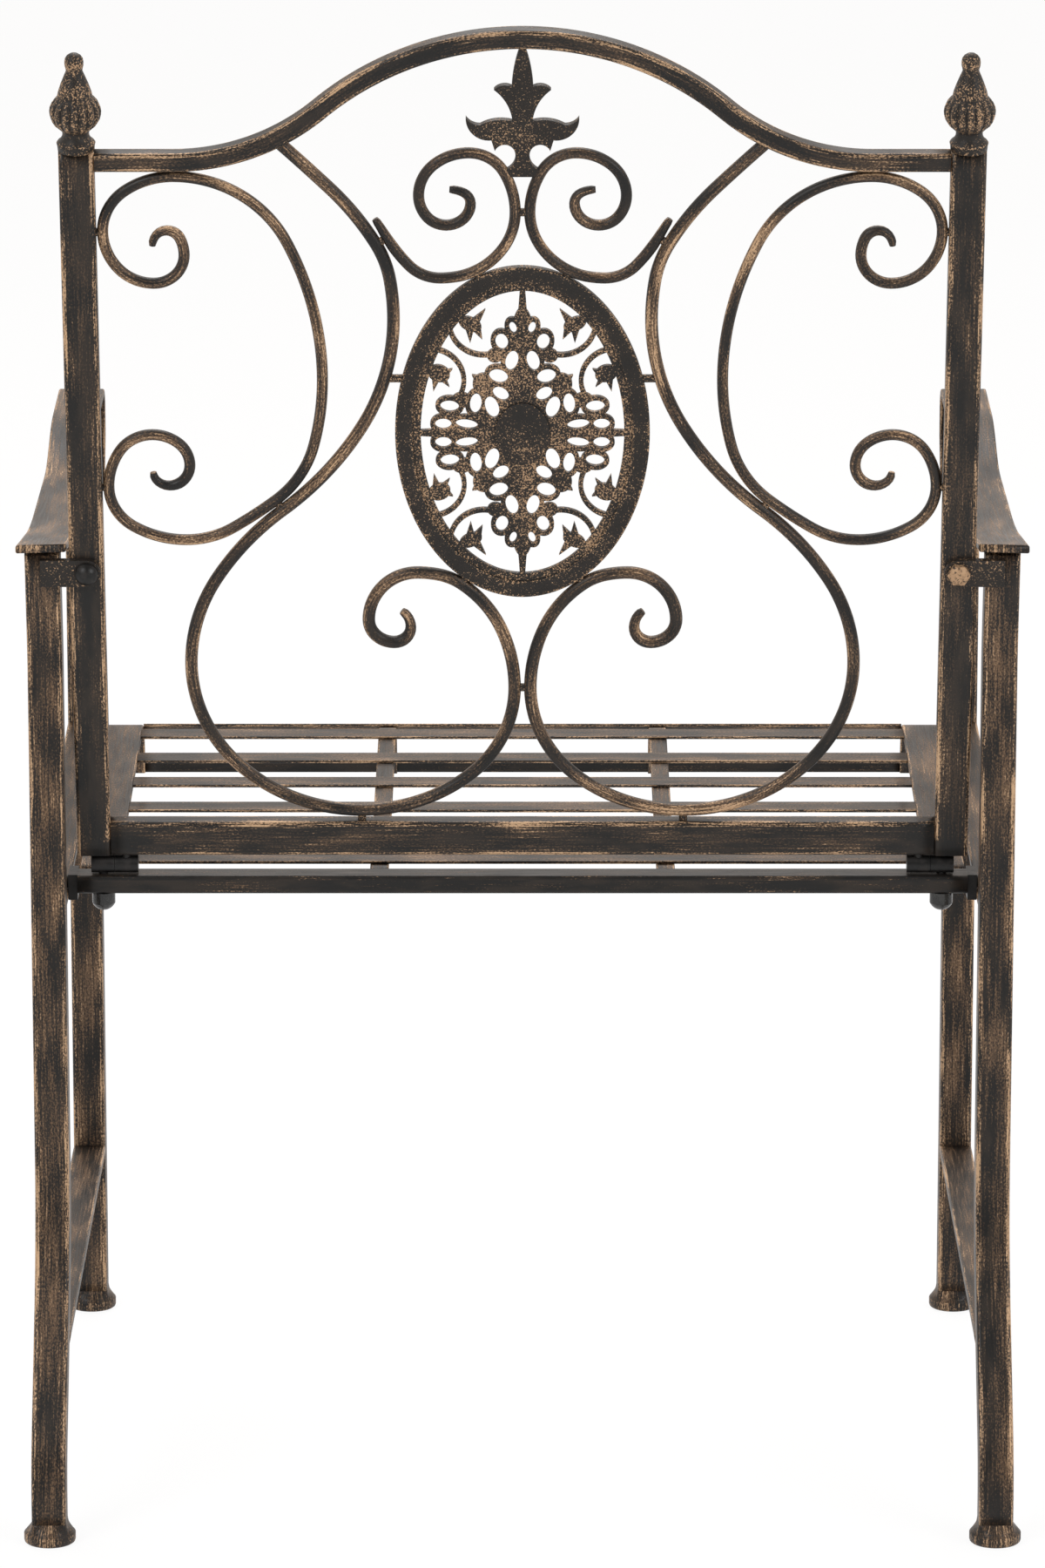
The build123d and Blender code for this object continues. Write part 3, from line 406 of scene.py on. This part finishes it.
# Dry-brushed paint in two layers. The haze is fine dots and streaks drawn out along the bar; the flakes are
# brighter, sparser strokes helped along by the edges. Slower patches thin both.
def brushedPaint(name, cover=0.0, edgeGain=0.15, roughness=0.42, haze=0.5, blotches=0.42, hinges=False):
    material, shader = newMaterial(name)
    tree = material.node_tree
    uv = tree.nodes.new("ShaderNodeUVMap")
    uv.uv_map = "lengthMap"
    wear = tree.nodes.new("ShaderNodeAttribute")
    wear.attribute_name = "edgeWear"
    vector = uv.outputs["UV"]
    hairs = noise(material, vector, brushMarks["hairs"], 3.0, 0.62)
    strokes = noise(material, vector, brushMarks["strokes"], 4.0, 0.65)
    dots = noise(material, vector, brushMarks["dots"], 2.0, 0.65)
    patches = noise(material, vector, brushMarks["patches"], 2.0, 0.5)
    tone = noise(material, vector, brushMarks["tone"], 3.0, 0.5)
    amount = added(material, scaled(material, hairs, 0.4), scaled(material, strokes, 0.6),
                   centred(material, dots, 0.5), centred(material, patches, blotches),
                   scaled(material, wear.outputs["Fac"], edgeGain))
    flakes = covered(material, amount, "flakes", cover)
    soft = added(material, scaled(material, strokes, 0.5), scaled(material, dots, 0.5),
                 centred(material, patches, blotches))
    soft = covered(material, soft, "haze", cover, haze)
    mask = maths(material, "MAXIMUM", soft, flakes)
    if hinges:
        mask = maths(material, "MULTIPLY", mask, touchUpMask(material))
    dark = mixColour(material, ramp(material, tone, 0.4, 0.65), paint["charcoal"], paint["umber"])
    gold = mixColour(material, flakes, paint["bronze"], paint["paleBronze"])
    wire(material, mixColour(material, mask, dark, gold), shader.inputs["Base Color"])
    shine = ramp(material, strokes, *shineSpan, roughness - 0.06, roughness + 0.12)
    wire(material, shine, shader.inputs["Roughness"])
    wire(material, scaled(material, mask, paint["metal"]), shader.inputs["Metallic"])
    addBump(material, shader, added(material, strokes, scaled(material, mask, 0.5)), 0.25, 0.0003)
    return material


oval = dict(centre=299.0, halfWidth=79.5, halfHeight=111.5, band=11.0, points=200)
boss = dict(middle=onBack([(0.0, oval["centre"])])[0], reach=(0.017, 0.0205, 0.0205), rim=(0.95, 1.1))


def vectorMaths(material, operation, first, second=(0, 0, 0)):
    node = material.node_tree.nodes.new("ShaderNodeVectorMath")
    node.operation = operation
    wire(material, first, node.inputs[0])
    node.inputs[1].default_value = tuple(second)
    return node


# Speckled paint on castings: fine grains over slower clouds, in the object's own space. The oval boss in the
# plate's middle can stay darker.
def speckledPaint(name, cover=0.0, grain=900.0, edgeGain=0.0, rosette=0.0):
    material, shader = newMaterial(name)
    place = material.node_tree.nodes.new("ShaderNodeTexCoord").outputs["Object"]
    wear = material.node_tree.nodes.new("ShaderNodeAttribute")
    wear.attribute_name = "edgeWear"
    grains = noise(material, place, (grain, grain, grain), 3.0, 0.6)
    clouds = noise(material, place, (castMarks["clouds"],) * 3, 3.0, 0.55)
    amount = added(material, grains, centred(material, clouds, 0.3))
    if rosette:
        apart = vectorMaths(material, "SUBTRACT", place, boss["middle"]).outputs["Vector"]
        apart = vectorMaths(material, "DIVIDE", apart, boss["reach"]).outputs["Vector"]
        apart = vectorMaths(material, "LENGTH", apart).outputs["Value"]
        amount = added(material, amount, ramp(material, apart, *boss["rim"], -rosette, 0.0))
    amount = added(material, amount, scaled(material, wear.outputs["Fac"], edgeGain))
    mask = covered(material, amount, "grains", cover)
    dark = mixColour(material, clouds, paint["charcoal"], paint["umber"])
    gold = mixColour(material, grains, paint["bronze"], paint["paleBronze"])
    wire(material, mixColour(material, mask, dark, gold), shader.inputs["Base Color"])
    wire(material, ramp(material, grains, *shineSpan, 0.42, 0.6), shader.inputs["Roughness"])
    wire(material, scaled(material, mask, paint["metal"]), shader.inputs["Metallic"])
    addBump(material, shader, grains, 0.4, 0.0005)
    return material


def plainPaint(name, colour, second, roughness, clear=0.0):
    material, shader = newMaterial(name)
    place = material.node_tree.nodes.new("ShaderNodeTexCoord").outputs["Object"]
    clouds = noise(material, place, (castMarks["plainClouds"],) * 3, 4.0, 0.6)
    tone = mixColour(material, ramp(material, clouds, 0.4, 0.7), colour, second)
    wire(material, tone, shader.inputs["Base Color"])
    shine = ramp(material, clouds, *shineSpan, roughness - 0.08, roughness + 0.1)
    wire(material, shine, shader.inputs["Roughness"])
    shader.inputs["Transmission Weight"].default_value = clear
    addBump(material, shader, clouds, 0.2, 0.0003)
    return material


brushed = brushedPaint("dryBrushedIron")
brushedFrame = brushedPaint("dryBrushedBackFrame", cover=-0.02, edgeGain=0.17, haze=0.24, hinges=True)
brushedBold = brushedPaint("dryBrushedScroll", cover=0.01, haze=0.42, blotches=0.75)
brushedQuiet = brushedPaint("quietBlackIron", cover=-0.11, edgeGain=0.12)
speckledLeaf = speckledPaint("speckledLeaf", cover=-0.06)
speckledRosette = speckledPaint("speckledRosette", cover=0.035, rosette=0.065)
speckledBand = speckledPaint("speckledBand", cover=-0.09, edgeGain=0.16)
speckledTab = speckledPaint("speckledTab", cover=-0.06)
giltCasting = speckledPaint("giltCasting", cover=-0.12, edgeGain=0.27)
speckledWeld = speckledPaint("weldBronze", cover=0.02)
blackSteel = plainPaint("satinBlackSteel", (0.008, 0.008, 0.008), (0.018, 0.016, 0.015), 0.4)
giltBolt = speckledPaint("wornGiltBolt", cover=0.12, grain=500.0)
capPlastic = plainPaint("smokyCap", (0.03, 0.03, 0.03), (0.06, 0.06, 0.058), 0.18, clear=0.3)
print("materials ready")

# Back frame
back = dict(postX=274, postWidth=22, depth=12, corner=2.5, bottom=8.0, top=487, railHeight=23.5, archBar=12,
            archRise=80, archFlat=48, archInset=1, archCorner=2.2, archStep=4.0, crownShare=0.58)
postInner = back["postX"] - back["postWidth"] / 2
archLevel = back["top"] - back["archInset"] - back["archBar"] / 2
panelBottom = back["bottom"] + back["railHeight"]
for name, side in sides:
    path = onBack(straightPath((side * back["postX"], back["bottom"]), (side * back["postX"], back["top"])))
    barAlong(f"{name}PostLook", path, toSitter, boxProfile(back["postWidth"], back["depth"], back["corner"]),
             "backrest", brushedFrame, [f"{name}_back_post"])
railLevel = back["bottom"] + back["railHeight"] / 2
barAlong("bottomRailLook", onBack(straightPath((-postInner, railLevel), (postInner, railLevel))), toSitter,
         boxProfile(back["railHeight"], back["depth"], back["corner"]), "backrest", brushedFrame,
         ["back_bottom_rail"])

archRun = postInner - back["archFlat"]
crownX = archRun * back["crownShare"]
crownUp = archLevel + back["archRise"] * (1 - back["crownShare"])
archEnds = np.array([[-archRun, archLevel], [-crownX, crownUp], [crownX, crownUp], [archRun, archLevel]])
hollow = (archEnds[3] - archEnds[2]) / np.hypot(*(archEnds[3] - archEnds[2]))
crownWay = (archEnds[1] - archEnds[0]) / np.hypot(*(archEnds[1] - archEnds[0]))
crownWay = crownWay * (2 * crownWay[0]) - wayOf(0)
archPath = np.vstack([
    straightPath((-postInner, archLevel), archEnds[0])[:-1],
    tangentArc(archEnds[0], archEnds[1], wayOf(0), back["archStep"])[:-1],
    tangentArc(archEnds[1], archEnds[2], crownWay, back["archStep"])[:-1],
    tangentArc(archEnds[2], archEnds[3], hollow * (2 * hollow[0]) - wayOf(0), back["archStep"])[:-1],
    straightPath(archEnds[3], (postInner, archLevel)),
])
barAlong("archLook", onBack(archPath), toSitter, boxProfile(back["archBar"], back["depth"], back["archCorner"]),
         "backrest", brushedFrame, ["back_top_rail"])
print("back frame ready")

# Scrollwork: stations are drawn on the panel between the posts, the bottom rail and the arch
scrolls = dict(heavy=8.0, light=7.0, weldGap=0.5, twinGap=1.0, pegLength=2.5)
heavy, light = scrolls["heavy"] / 2, scrolls["light"] / 2


def station(x, y, turn):
    return np.array([x, y], float), turn


def beside(other, away):
    place, turn = other
    return place + wayOf(turn + 90) * away, turn


def roundOval(turn, away):
    right, up = cos(radians(turn)), sin(radians(turn))
    edge = np.array([oval["halfWidth"] * right, oval["centre"] + oval["halfHeight"] * up])
    out = np.array([right / oval["halfWidth"], up / oval["halfHeight"]])
    out /= np.hypot(*out)
    return edge + out * away, degrees(atan2(out[1], out[0])) + 90


sideBySide = heavy + light + scrolls["weldGap"]
outerMeeting = station(150, 246.5, -38)
upperMeeting = station(90.5, 425, -120)
byPost = postInner - light - scrolls["weldGap"]
scrollStations = {
    "long": (scrolls["heavy"], [
        station(152, 494, -137), upperMeeting, station(80, 376, -90), outerMeeting, station(209.5, 140, -90),
        station(102.5, panelBottom + scrolls["pegLength"] + heavy, 180),
        station(heavy + scrolls["twinGap"], 124, 90), roundOval(-63.0, heavy + scrolls["weldGap"]),
        station(66, 203.5, 0), station(97, 171, -90), station(81, 155.5, 180), station(70.5, 166, 90),
        station(76, 177, 35)]),
    "outer": (scrolls["light"], [
        station(228.5, 424, 90), station(219.5, 434, 180), station(209, 418, -90), station(228, 399, 0),
        station(byPost, 433, 90), station(215, 469.5, 180), station(124.5, 336, -90),
        beside(outerMeeting, sideBySide), station(211, 226, 0), station(byPost, 262, 90),
        station(231, 297.5, 180), station(208, 277, -90), station(221, 263, 0), station(231, 272, 90)]),
    "upper": (scrolls["light"], [
        station(91, 441.5, -124), beside(upperMeeting, -sideBySide), station(51, 402.5, 180),
        roundOval(70.0, light + scrolls["weldGap"]), station(light + scrolls["twinGap"], 446, 90),
        station(33, 485, 0), station(64, 457, -90), station(47, 437.5, 180), station(32, 452, 90),
        station(45, 461, 0)]),
}
for kind, (bar, stations) in scrollStations.items():
    path = scrollPath(stations)
    for name, side in sides:
        barAlong(f"{name}{kind.title()}ScrollLook", onBack(path * [side, 1]), toSitter, roundProfile(bar),
                 "backrest", brushedBold, [f"{name}_{kind}_scroll"], tips=(kind != "long", True))
print("scrolls ready")

# Medallion band: a faintly dished bar with rounded rims, carried round the oval. The half section runs from
# the inner edge to the outer one: inward, out of the band's middle plane, edge wear.
rim = np.array([
    (5.5, 1.8, 0.6), (5.2, 2.5, 0.8), (4.6, 2.8, 0.7), (3.4, 2.8, 0.2), (1, 2.6, 0.1), (-1, 2.55, 0.1),
    (-2.6, 2.65, 0.1), (-3.9, 2.9, 0.4), (-4.6, 3.0, 0.8), (-5.2, 2.7, 0.9), (-5.5, 1.9, 0.6)])
bandProfile = (np.vstack([rim[:, :2], rim[::-1, :2] * [1, -1]]), np.concatenate([rim[:, 2], rim[::-1, 2]]))
turns = np.arange(oval["points"]) * 2 * pi / oval["points"]
bandMiddle = oval["band"] / 2
bandPath = np.column_stack([(oval["halfWidth"] - bandMiddle) * np.cos(turns),
                            oval["centre"] + (oval["halfHeight"] - bandMiddle) * np.sin(turns)])
barAlong("medallionBandLook", onBack(bandPath), toSitter, bandProfile, "backrest", speckledBand,
         ["medallion_band"], closed=True)

plates = dict(mergeWithin=0.00002, rimSteps=3, sharpFrom=50)


# A plate's own mesh, merged, with its rims rounded over.
def softenedPlate(node, width, material):
    source = frame["nodes"][node].data.copy()
    piece = bpy.data.objects.new(node + "Look", source)
    bpy.context.scene.collection.objects.link(piece)
    shape = bmesh.new()
    shape.from_mesh(source)
    bmesh.ops.remove_doubles(shape, verts=shape.verts, dist=plates["mergeWithin"])
    shape.to_mesh(source)
    shape.free()
    bevel = piece.modifiers.new("rims", "BEVEL")
    bevel.width = width * mm
    bevel.segments = plates["rimSteps"]
    bevel.limit_method = "ANGLE"
    bevel.angle_limit = radians(plates["sharpFrom"])
    setMaterial(source, material)
    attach(piece, "backrest")
    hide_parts(node)


softenedPlate("medallion_filigree", 0.5, speckledRosette)
softenedPlate("leaf_plate", 1.0, speckledLeaf)

# Finials: flange, neck, ribbed bulb, cone and ball
finial = dict(
    ribs=16, ribDepth=0.11, ribFoot=13.0, ribTop=34.6, fadeIn=4, fadeOut=3, around=192, fineRows=(13, 35, 30),
    gilt=dict(least=0.22, crest=0.42, line=0.5, lines=((0, 1), (5, 1.2), (40, 6), (56, 5))),
    rows=((0, 11.3), (3.4, 11.6), (4.9, 12), (6, 11.2), (7.5, 9.4), (9.5, 8.4), (11.6, 8.2), (13, 8.8),
          (14.5, 10.4), (17, 13.2), (20, 15), (23, 15.8), (25.4, 16), (28, 15.6), (31, 14.3), (33.3, 12.4),
          (34.6, 11), (38, 10.3), (43, 8.6), (48, 6.6), (51, 5.3), (52, 5.1), (53, 5.3), (55, 5.8), (57.2, 5.9),
          (59.5, 5.5), (61.3, 4.3), (62.5, 2.5), (63, 0.3)))
rowHeights, rowRadii = np.array(finial["rows"]).T


# Ribs: rounded ridges round the bulb with sharp grooves between them, fading out at its top and bottom.
def finialRibs(height, angle):
    fade = np.clip((height - finial["ribFoot"]) / finial["fadeIn"], 0, 1)
    fade = fade * np.clip((finial["ribTop"] - height) / finial["fadeOut"], 0, 1)
    return finial["ribDepth"] * fade * (np.sqrt(np.abs(np.cos(finial["ribs"] / 2 * angle))) - 1)


# Gilding: on the ribs' crests, on the flange's two rims, round the cone and on the ball.
def finialGilt(height, angle):
    onRibs = (height > finial["ribFoot"]) & (height < finial["ribTop"])
    crest = np.abs(np.cos(finial["ribs"] / 2 * angle))
    gilt = finial["gilt"]
    lines = sum(np.exp(-((height - level) / width) ** 2) for level, width in gilt["lines"])
    plain = np.clip(gilt["least"] + gilt["line"] * lines, 0, 1)
    return np.where(onRibs, gilt["least"] + gilt["crest"] * crest, plain)


fineHeights = np.unique(np.concatenate([rowHeights, np.linspace(*finial["fineRows"])]))
fineRadii = np.interp(fineHeights, rowHeights, rowRadii)
for name, side in sides:
    turnedPiece(f"{name}FinialLook", onBack([(side * back["postX"], back["top"])])[0], upBack, fineHeights,
                fineRadii, finial["around"], finialRibs, finialGilt, "backrest", giltCasting,
                [f"{name}_finial"])
print("ornaments ready")

# Side frames
legs = dict(x=302, tube=22, corner=2.5, frontY=-248, rearY=175, rearFootY=259, footHeight=14, ankle=35.4,
            slant=33.0, topBend=100, kickBend=190, ankleBend=82, offset=4.7, rearTop=632.0, frontTop=646.0)
arms = dict(x=302, width=31, thickness=5, edge=1.3, rearY=214, tip=11.0, rearZ=637.48, dip=17, dipRise=3,
            crest=12, crestRise=5, frontY=-273, dipRearY=75, dipFrontY=-108, crestY=-172,
            bends=(600, 150, 150, 12, 12, 12), bendStep=3.0, nose=32, back=20, tail=65, tailY=-261.8)
frontZ = arms["rearZ"] + arms["crest"]
armRoute = [(arms["rearY"], arms["rearZ"]), (arms["dipRearY"], arms["rearZ"] - arms["dip"]),
            (arms["dipFrontY"], arms["rearZ"] - arms["dip"] + arms["dipRise"]),
            (arms["crestY"], frontZ - arms["crestRise"]), (arms["frontY"], frontZ),
            (arms["frontY"], frontZ - arms["nose"]), (arms["tailY"], frontZ - arms["nose"] - arms["back"]),
            (arms["tailY"], frontZ - arms["tail"])]
ankleZ = legs["footHeight"] + legs["ankle"]
kick = radians(legs["slant"])
kickZ = ankleZ + (legs["rearFootY"] - legs["rearY"]) / tan(kick)
hingeY, hingeZ = hinge[1] / mm, hinge[2] / mm
leanStart = (legs["rearY"] - hingeY + legs["offset"] * cos(lean)) / sin(lean)
leanTop = (legs["rearTop"] - hingeZ) / cos(lean)


def onLeanLine(up):
    return (hingeY + up * sin(lean) - legs["offset"] * cos(lean),
            hingeZ + up * cos(lean) + legs["offset"] * sin(lean))


rearRoute = [onLeanLine(leanTop), (legs["rearY"], onLeanLine(leanStart)[1]), (legs["rearY"], kickZ),
             (legs["rearFootY"], ankleZ), (legs["rearFootY"], legs["footHeight"])]
stretcher = dict(z=117, thickness=6, width=22, front=-237, edge=1.2)
sideRail = dict(drop=14.3, thickness=5, width=22, front=-237, rear=164, edge=1.2)
tubeProfile = boxProfile(legs["tube"], legs["tube"], legs["corner"])
armProfile = boxProfile(arms["thickness"], arms["width"], arms["edge"])
stretcherProfile = boxProfile(stretcher["thickness"], stretcher["width"], stretcher["edge"])
sideRailProfile = boxProfile(sideRail["thickness"], sideRail["width"], sideRail["edge"])
kickAtBar = legs["rearY"] + (kickZ - stretcher["z"]) * tan(kick) - legs["tube"] / 2 / cos(kick)
rearPath = filletPath(rearRoute, (legs["topBend"], legs["kickBend"], legs["ankleBend"]))
frontPath = straightPath((legs["frontY"], legs["frontTop"]), (legs["frontY"], legs["footHeight"]))
armPath = filletPath(armRoute, arms["bends"], arms["bendStep"])
stretcherPath = straightPath((stretcher["front"], stretcher["z"]), (kickAtBar, stretcher["z"]))
sideRailPath = straightPath(*[(y, seatTop + (hingeY - y) * tan(slope) - sideRail["drop"] / cos(slope))
                              for y in (sideRail["front"], sideRail["rear"])])
for name, side in sides:
    x = side * legs["x"]
    barAlong(f"{name}RearLegLook", onSide(rearPath, x), across, tubeProfile, "frame", brushed,
             [f"{name}_rear_leg"])
    barAlong(f"{name}FrontLegLook", onSide(frontPath, x), across, tubeProfile, "frame", brushed,
             [f"{name}_front_leg"])
    path = onSide(armPath, side * arms["x"])
    slant = side * arms["tip"] / arms["width"]
    path[0] += (path[0] - path[1]) / np.linalg.norm(path[0] - path[1]) * -arms["tip"] / 2 * mm
    barAlong(f"{name}ArmLook", path, across, armProfile, "frame", brushed, [f"{name}_arm"],
             shift={0: (0, -slant)})
    barAlong(f"{name}StretcherLook", onSide(stretcherPath, x), across, stretcherProfile, "frame", brushed,
             [f"{name}_stretcher"], shift={-1: (-tan(kick), 0)})
    barAlong(f"{name}SideRailLook", onSide(sideRailPath, x), across, sideRailProfile, "frame", brushed,
             [f"{name}_side_rail"])

# Feet: the tube's rounded square spreads into a round pad; share 0 is the square, 1 the circle
foot = dict(
    around=64, mostSquare=1.32, gilt=dict(rimTop=7, grooveTop=9, rim=0.75, groove=0.0, neck=0.45),
    rows=((14, 0.0, 11.0), (12.6, 0.1, 11.4), (11, 0.35, 12.4), (9.4, 0.7, 14), (8.3, 1.0, 15.1),
          (7.5, 1.0, 15.3), (7.1, 1.0, 16.1), (6.4, 1.0, 16.5), (4.5, 1.0, 16.5), (2.2, 1.0, 16.5),
          (0.9, 1.0, 16.1), (0.2, 1.0, 15.2), (0, 1.0, 14.2)))
footHeights, footShares, footRadii = np.array(foot["rows"])[::-1].T


# Squareness: how far the rounded square stands beyond its inscribed circle at each angle, fading downwards.
def footSquare(height, angle):
    outward = 1 / np.maximum(np.abs(np.cos(angle)), np.abs(np.sin(angle)))
    square = np.minimum(outward, foot["mostSquare"]) - 1
    return square * (1 - np.interp(height, footHeights, footShares))


# Gilding on the pad's rim; the groove over it stays dark.
def footGilt(height, angle):
    gilt = foot["gilt"]
    upper = np.where(height < gilt["grooveTop"], gilt["groove"], gilt["neck"])
    return np.where(height < gilt["rimTop"], gilt["rim"], upper) + 0 * angle


for end, footY in (("front", legs["frontY"]), ("rear", legs["rearFootY"])):
    for name, side in sides:
        turnedPiece(f"{name}{end.title()}FootLook", np.array([side * legs["x"], footY, 0]) * mm,
                    np.array([0.0, 0.0, 1.0]), footHeights, footRadii, foot["around"], footSquare, footGilt,
                    "frame", brushed, [f"{name}_{end}_foot"])
print("side frames ready")

# Seat
seat = dict(depth=365, roll=30, rollPoints=14, drop=41, railFront=11.5, plateX=271.5, plateWidth=25,
            plateThickness=4, plateEdge=1.0, strapX=92, strapWidth=12, strapThickness=3, slatReach=259,
            slatWidth=19, slatThickness=2, slatPoints=40, slats=6, first=35, pitch=57, frontRailHeight=13.5,
            frontRailThickness=2, rearRailDepth=18.5, rearRailHeight=12, rearRailCorner=2.2, rearReach=285,
            rearPoints=44)
thinEdge = dict(corner=0.6, support=0.3)
rollForward = seat["depth"] - seat["roll"]


# A strip's middle line: flat under the seat's top, a quarter turn over the front, then straight down.
def rolledPath(under):
    radius = seat["roll"] - under
    turn = np.linspace(pi / 2, 0, seat["rollPoints"])
    roll = np.column_stack([rollForward + radius * np.cos(turn), radius * np.sin(turn) - seat["roll"]])
    return np.vstack([straightPath((seat["railFront"], -under), (rollForward, -under))[:-1], roll,
                      [(rollForward + radius, -seat["drop"])]])


for name, side in sides:
    for kind, x, width, thickness, under in (
            ("plate", seat["plateX"], seat["plateWidth"], seat["plateThickness"], 0),
            ("strap", seat["strapX"], seat["strapWidth"], seat["strapThickness"], seat["slatThickness"])):
        barAlong(f"{name}Seat{kind.title()}Look", onSeat(rolledPath(under + thickness / 2), side * x), across,
                 boxProfile(thickness, width, seat["plateEdge"]), "frame", brushed, [f"{name}_seat_{kind}"])


# A straight run across the chair through one place on the seat.
def crossPath(place, reach, points):
    return onSeat([place])[0] + np.linspace(-reach, reach, points)[:, None] * mm * across


rollSlat = (seat["roll"] - seat["slatThickness"] / 2) * cos(pi / 4)
slatPlaces = [((seat["first"] + index * seat["pitch"], -seat["slatThickness"] / 2), upSeat)
              for index in range(seat["slats"])]
slatPlaces.append(((rollForward + rollSlat, rollSlat - seat["roll"]), (upSeat + forwardSeat) / sqrt(2)))
for index, (place, up) in enumerate(slatPlaces, start=1):
    barAlong(f"seatSlat{index}Look", crossPath(place, seat["slatReach"], seat["slatPoints"]), up,
             boxProfile(seat["slatWidth"], seat["slatThickness"], **thinEdge), "frame", brushed,
             [f"seat_slat_{index}"])
place = (seat["depth"] - seat["frontRailThickness"] / 2, seat["frontRailHeight"] / 2 - seat["drop"])
barAlong("seatFrontRailLook", crossPath(place, seat["slatReach"], seat["slatPoints"]), forwardSeat,
         boxProfile(seat["frontRailHeight"], seat["frontRailThickness"], **thinEdge), "frame", brushedQuiet,
         ["seat_front_rail"])
place = (seat["railFront"] - seat["rearRailDepth"] / 2, -seat["rearRailHeight"] / 2)
barAlong("seatRearRailLook", crossPath(place, seat["rearReach"], seat["rearPoints"]), upSeat,
         boxProfile(seat["rearRailDepth"], seat["rearRailHeight"], seat["rearRailCorner"]), "frame",
         brushedQuiet, ["seat_rear_rail"])
print("seat ready")

# Small parts keep their own solids and get their finishes
finishes = {"scroll_welds": speckledWeld, "post_inserts": blackSteel, "rear_rail_plugs": blackSteel,
            "seat_blocks": blackSteel, "seat_lugs": blackSteel, "seat_bolts": blackSteel,
            "hinge_pins": blackSteel, "hinge_nuts": blackSteel, "hinge_caps": capPlastic,
            "left_tab_bolt": blackSteel, "right_tab_bolt": giltBolt}
for name, _ in sides:
    finishes[f"{name}_tab"] = speckledTab
    finishes[f"{name}_lower_knuckle"] = blackSteel
    finishes[f"{name}_upper_knuckle"] = blackSteel
for node, material in finishes.items():
    setMaterial(frame["nodes"][node].data, material)

# Stage: a pale floor that the camera sees nearly white, with the chair's shadow on it
stage = dict(size=40.0, colour=(0.9, 0.9, 0.9), roughness=0.9, glow=0.9)
floorMesh = bpy.data.meshes.new("paleFloor")
half = stage["size"] / 2
floorCorners = [(-half, -half, 0), (half, -half, 0), (half, half, 0), (-half, half, 0)]
floorMesh.from_pydata(floorCorners, [], [(0, 1, 2, 3)])
floor = bpy.data.objects.new("paleFloor", floorMesh)
bpy.context.scene.collection.objects.link(floor)
floorMaterial, floorShader = newMaterial("paleFloorPaint")
floorShader.inputs["Base Color"].default_value = (*stage["colour"], 1)
floorShader.inputs["Roughness"].default_value = stage["roughness"]
tree = floorMaterial.node_tree
glow = tree.nodes.new("ShaderNodeEmission")
glow.inputs["Color"].default_value = (1, 1, 1, 1)
lightPath = tree.nodes.new("ShaderNodeLightPath")
mixer = tree.nodes.new("ShaderNodeMixShader")
seen = maths(floorMaterial, "MAXIMUM", lightPath.outputs["Is Camera Ray"], lightPath.outputs["Is Glossy Ray"])
seen = maths(floorMaterial, "MAXIMUM", seen, lightPath.outputs["Is Transmission Ray"])
wire(floorMaterial, maths(floorMaterial, "MULTIPLY", seen, stage["glow"]), mixer.inputs["Fac"])
wire(floorMaterial, floorShader.outputs["BSDF"], mixer.inputs[1])
wire(floorMaterial, glow.outputs["Emission"], mixer.inputs[2])
wire(floorMaterial, mixer.outputs["Shader"], next(
    node for node in tree.nodes if node.type == "OUTPUT_MATERIAL").inputs["Surface"])
floorMesh.materials.append(floorMaterial)

# Studio surround: bright beyond the chair, dim on the camera's side, white where the camera sees it
surround = dict(low=-0.35, high=0.75, beyond=1.15, near=0.16, tint=(1.0, 0.93, 0.87))
world = bpy.data.worlds.new("studio")
bpy.context.scene.world = world
world.use_nodes = True
way = world.node_tree.nodes.new("ShaderNodeSeparateXYZ")
wire(world, world.node_tree.nodes.new("ShaderNodeTexCoord").outputs["Generated"], way.inputs["Vector"])
strength = ramp(world, way.outputs["Y"], surround["low"], surround["high"],
                surround["beyond"], surround["near"])
direct = world.node_tree.nodes.new("ShaderNodeLightPath").outputs["Is Camera Ray"]
wire(world, maths(world, "MAXIMUM", strength, direct), world.node_tree.nodes["Background"].inputs["Strength"])
warmth = mixColour(world, direct, surround["tint"], (1.0, 1.0, 1.0))
wire(world, warmth, world.node_tree.nodes["Background"].inputs["Color"])

lamps = (("keyLamp", (2.6, 3.2, 3.2), 2.2, 110), ("fillLamp", (-3.0, 2.6, 2.4), 2.4, 80),
         ("topLamp", (0.0, -1.6, 3.6), 2.6, 70))
lampTarget = np.array([0, 0, 0.5])
for name, place, size, power in lamps:
    lamp = bpy.data.lights.new(name, "AREA")
    lamp.shape = "DISK"
    lamp.size = size
    lamp.energy = power
    lampObject = bpy.data.objects.new(name, lamp)
    lampObject.location = place
    aim = lampTarget - np.array(place)
    tilt = atan2(np.hypot(aim[0], aim[1]), -aim[2])
    lampObject.rotation_euler = Euler((tilt, 0, atan2(aim[1], aim[0]) - pi / 2))
    bpy.context.scene.collection.objects.link(lampObject)

view = dict(place=(0.0, 5.005, 1.628), pitch=13.4, focalPixels=8970.0, imageHeight=1800.0)
camera = bpy.data.cameras.new("photoCamera")
camera.sensor_fit = "VERTICAL"
camera.lens = view["focalPixels"] / view["imageHeight"] * camera.sensor_height
cameraObject = bpy.data.objects.new("photoCamera", camera)
cameraObject.location = view["place"]
cameraObject.rotation_euler = Euler((radians(90 - view["pitch"]), 0, pi))
bpy.context.scene.collection.objects.link(cameraObject)
bpy.context.scene.camera = cameraObject
bpy.context.scene.view_settings.view_transform = "Standard"
print("stage ready")
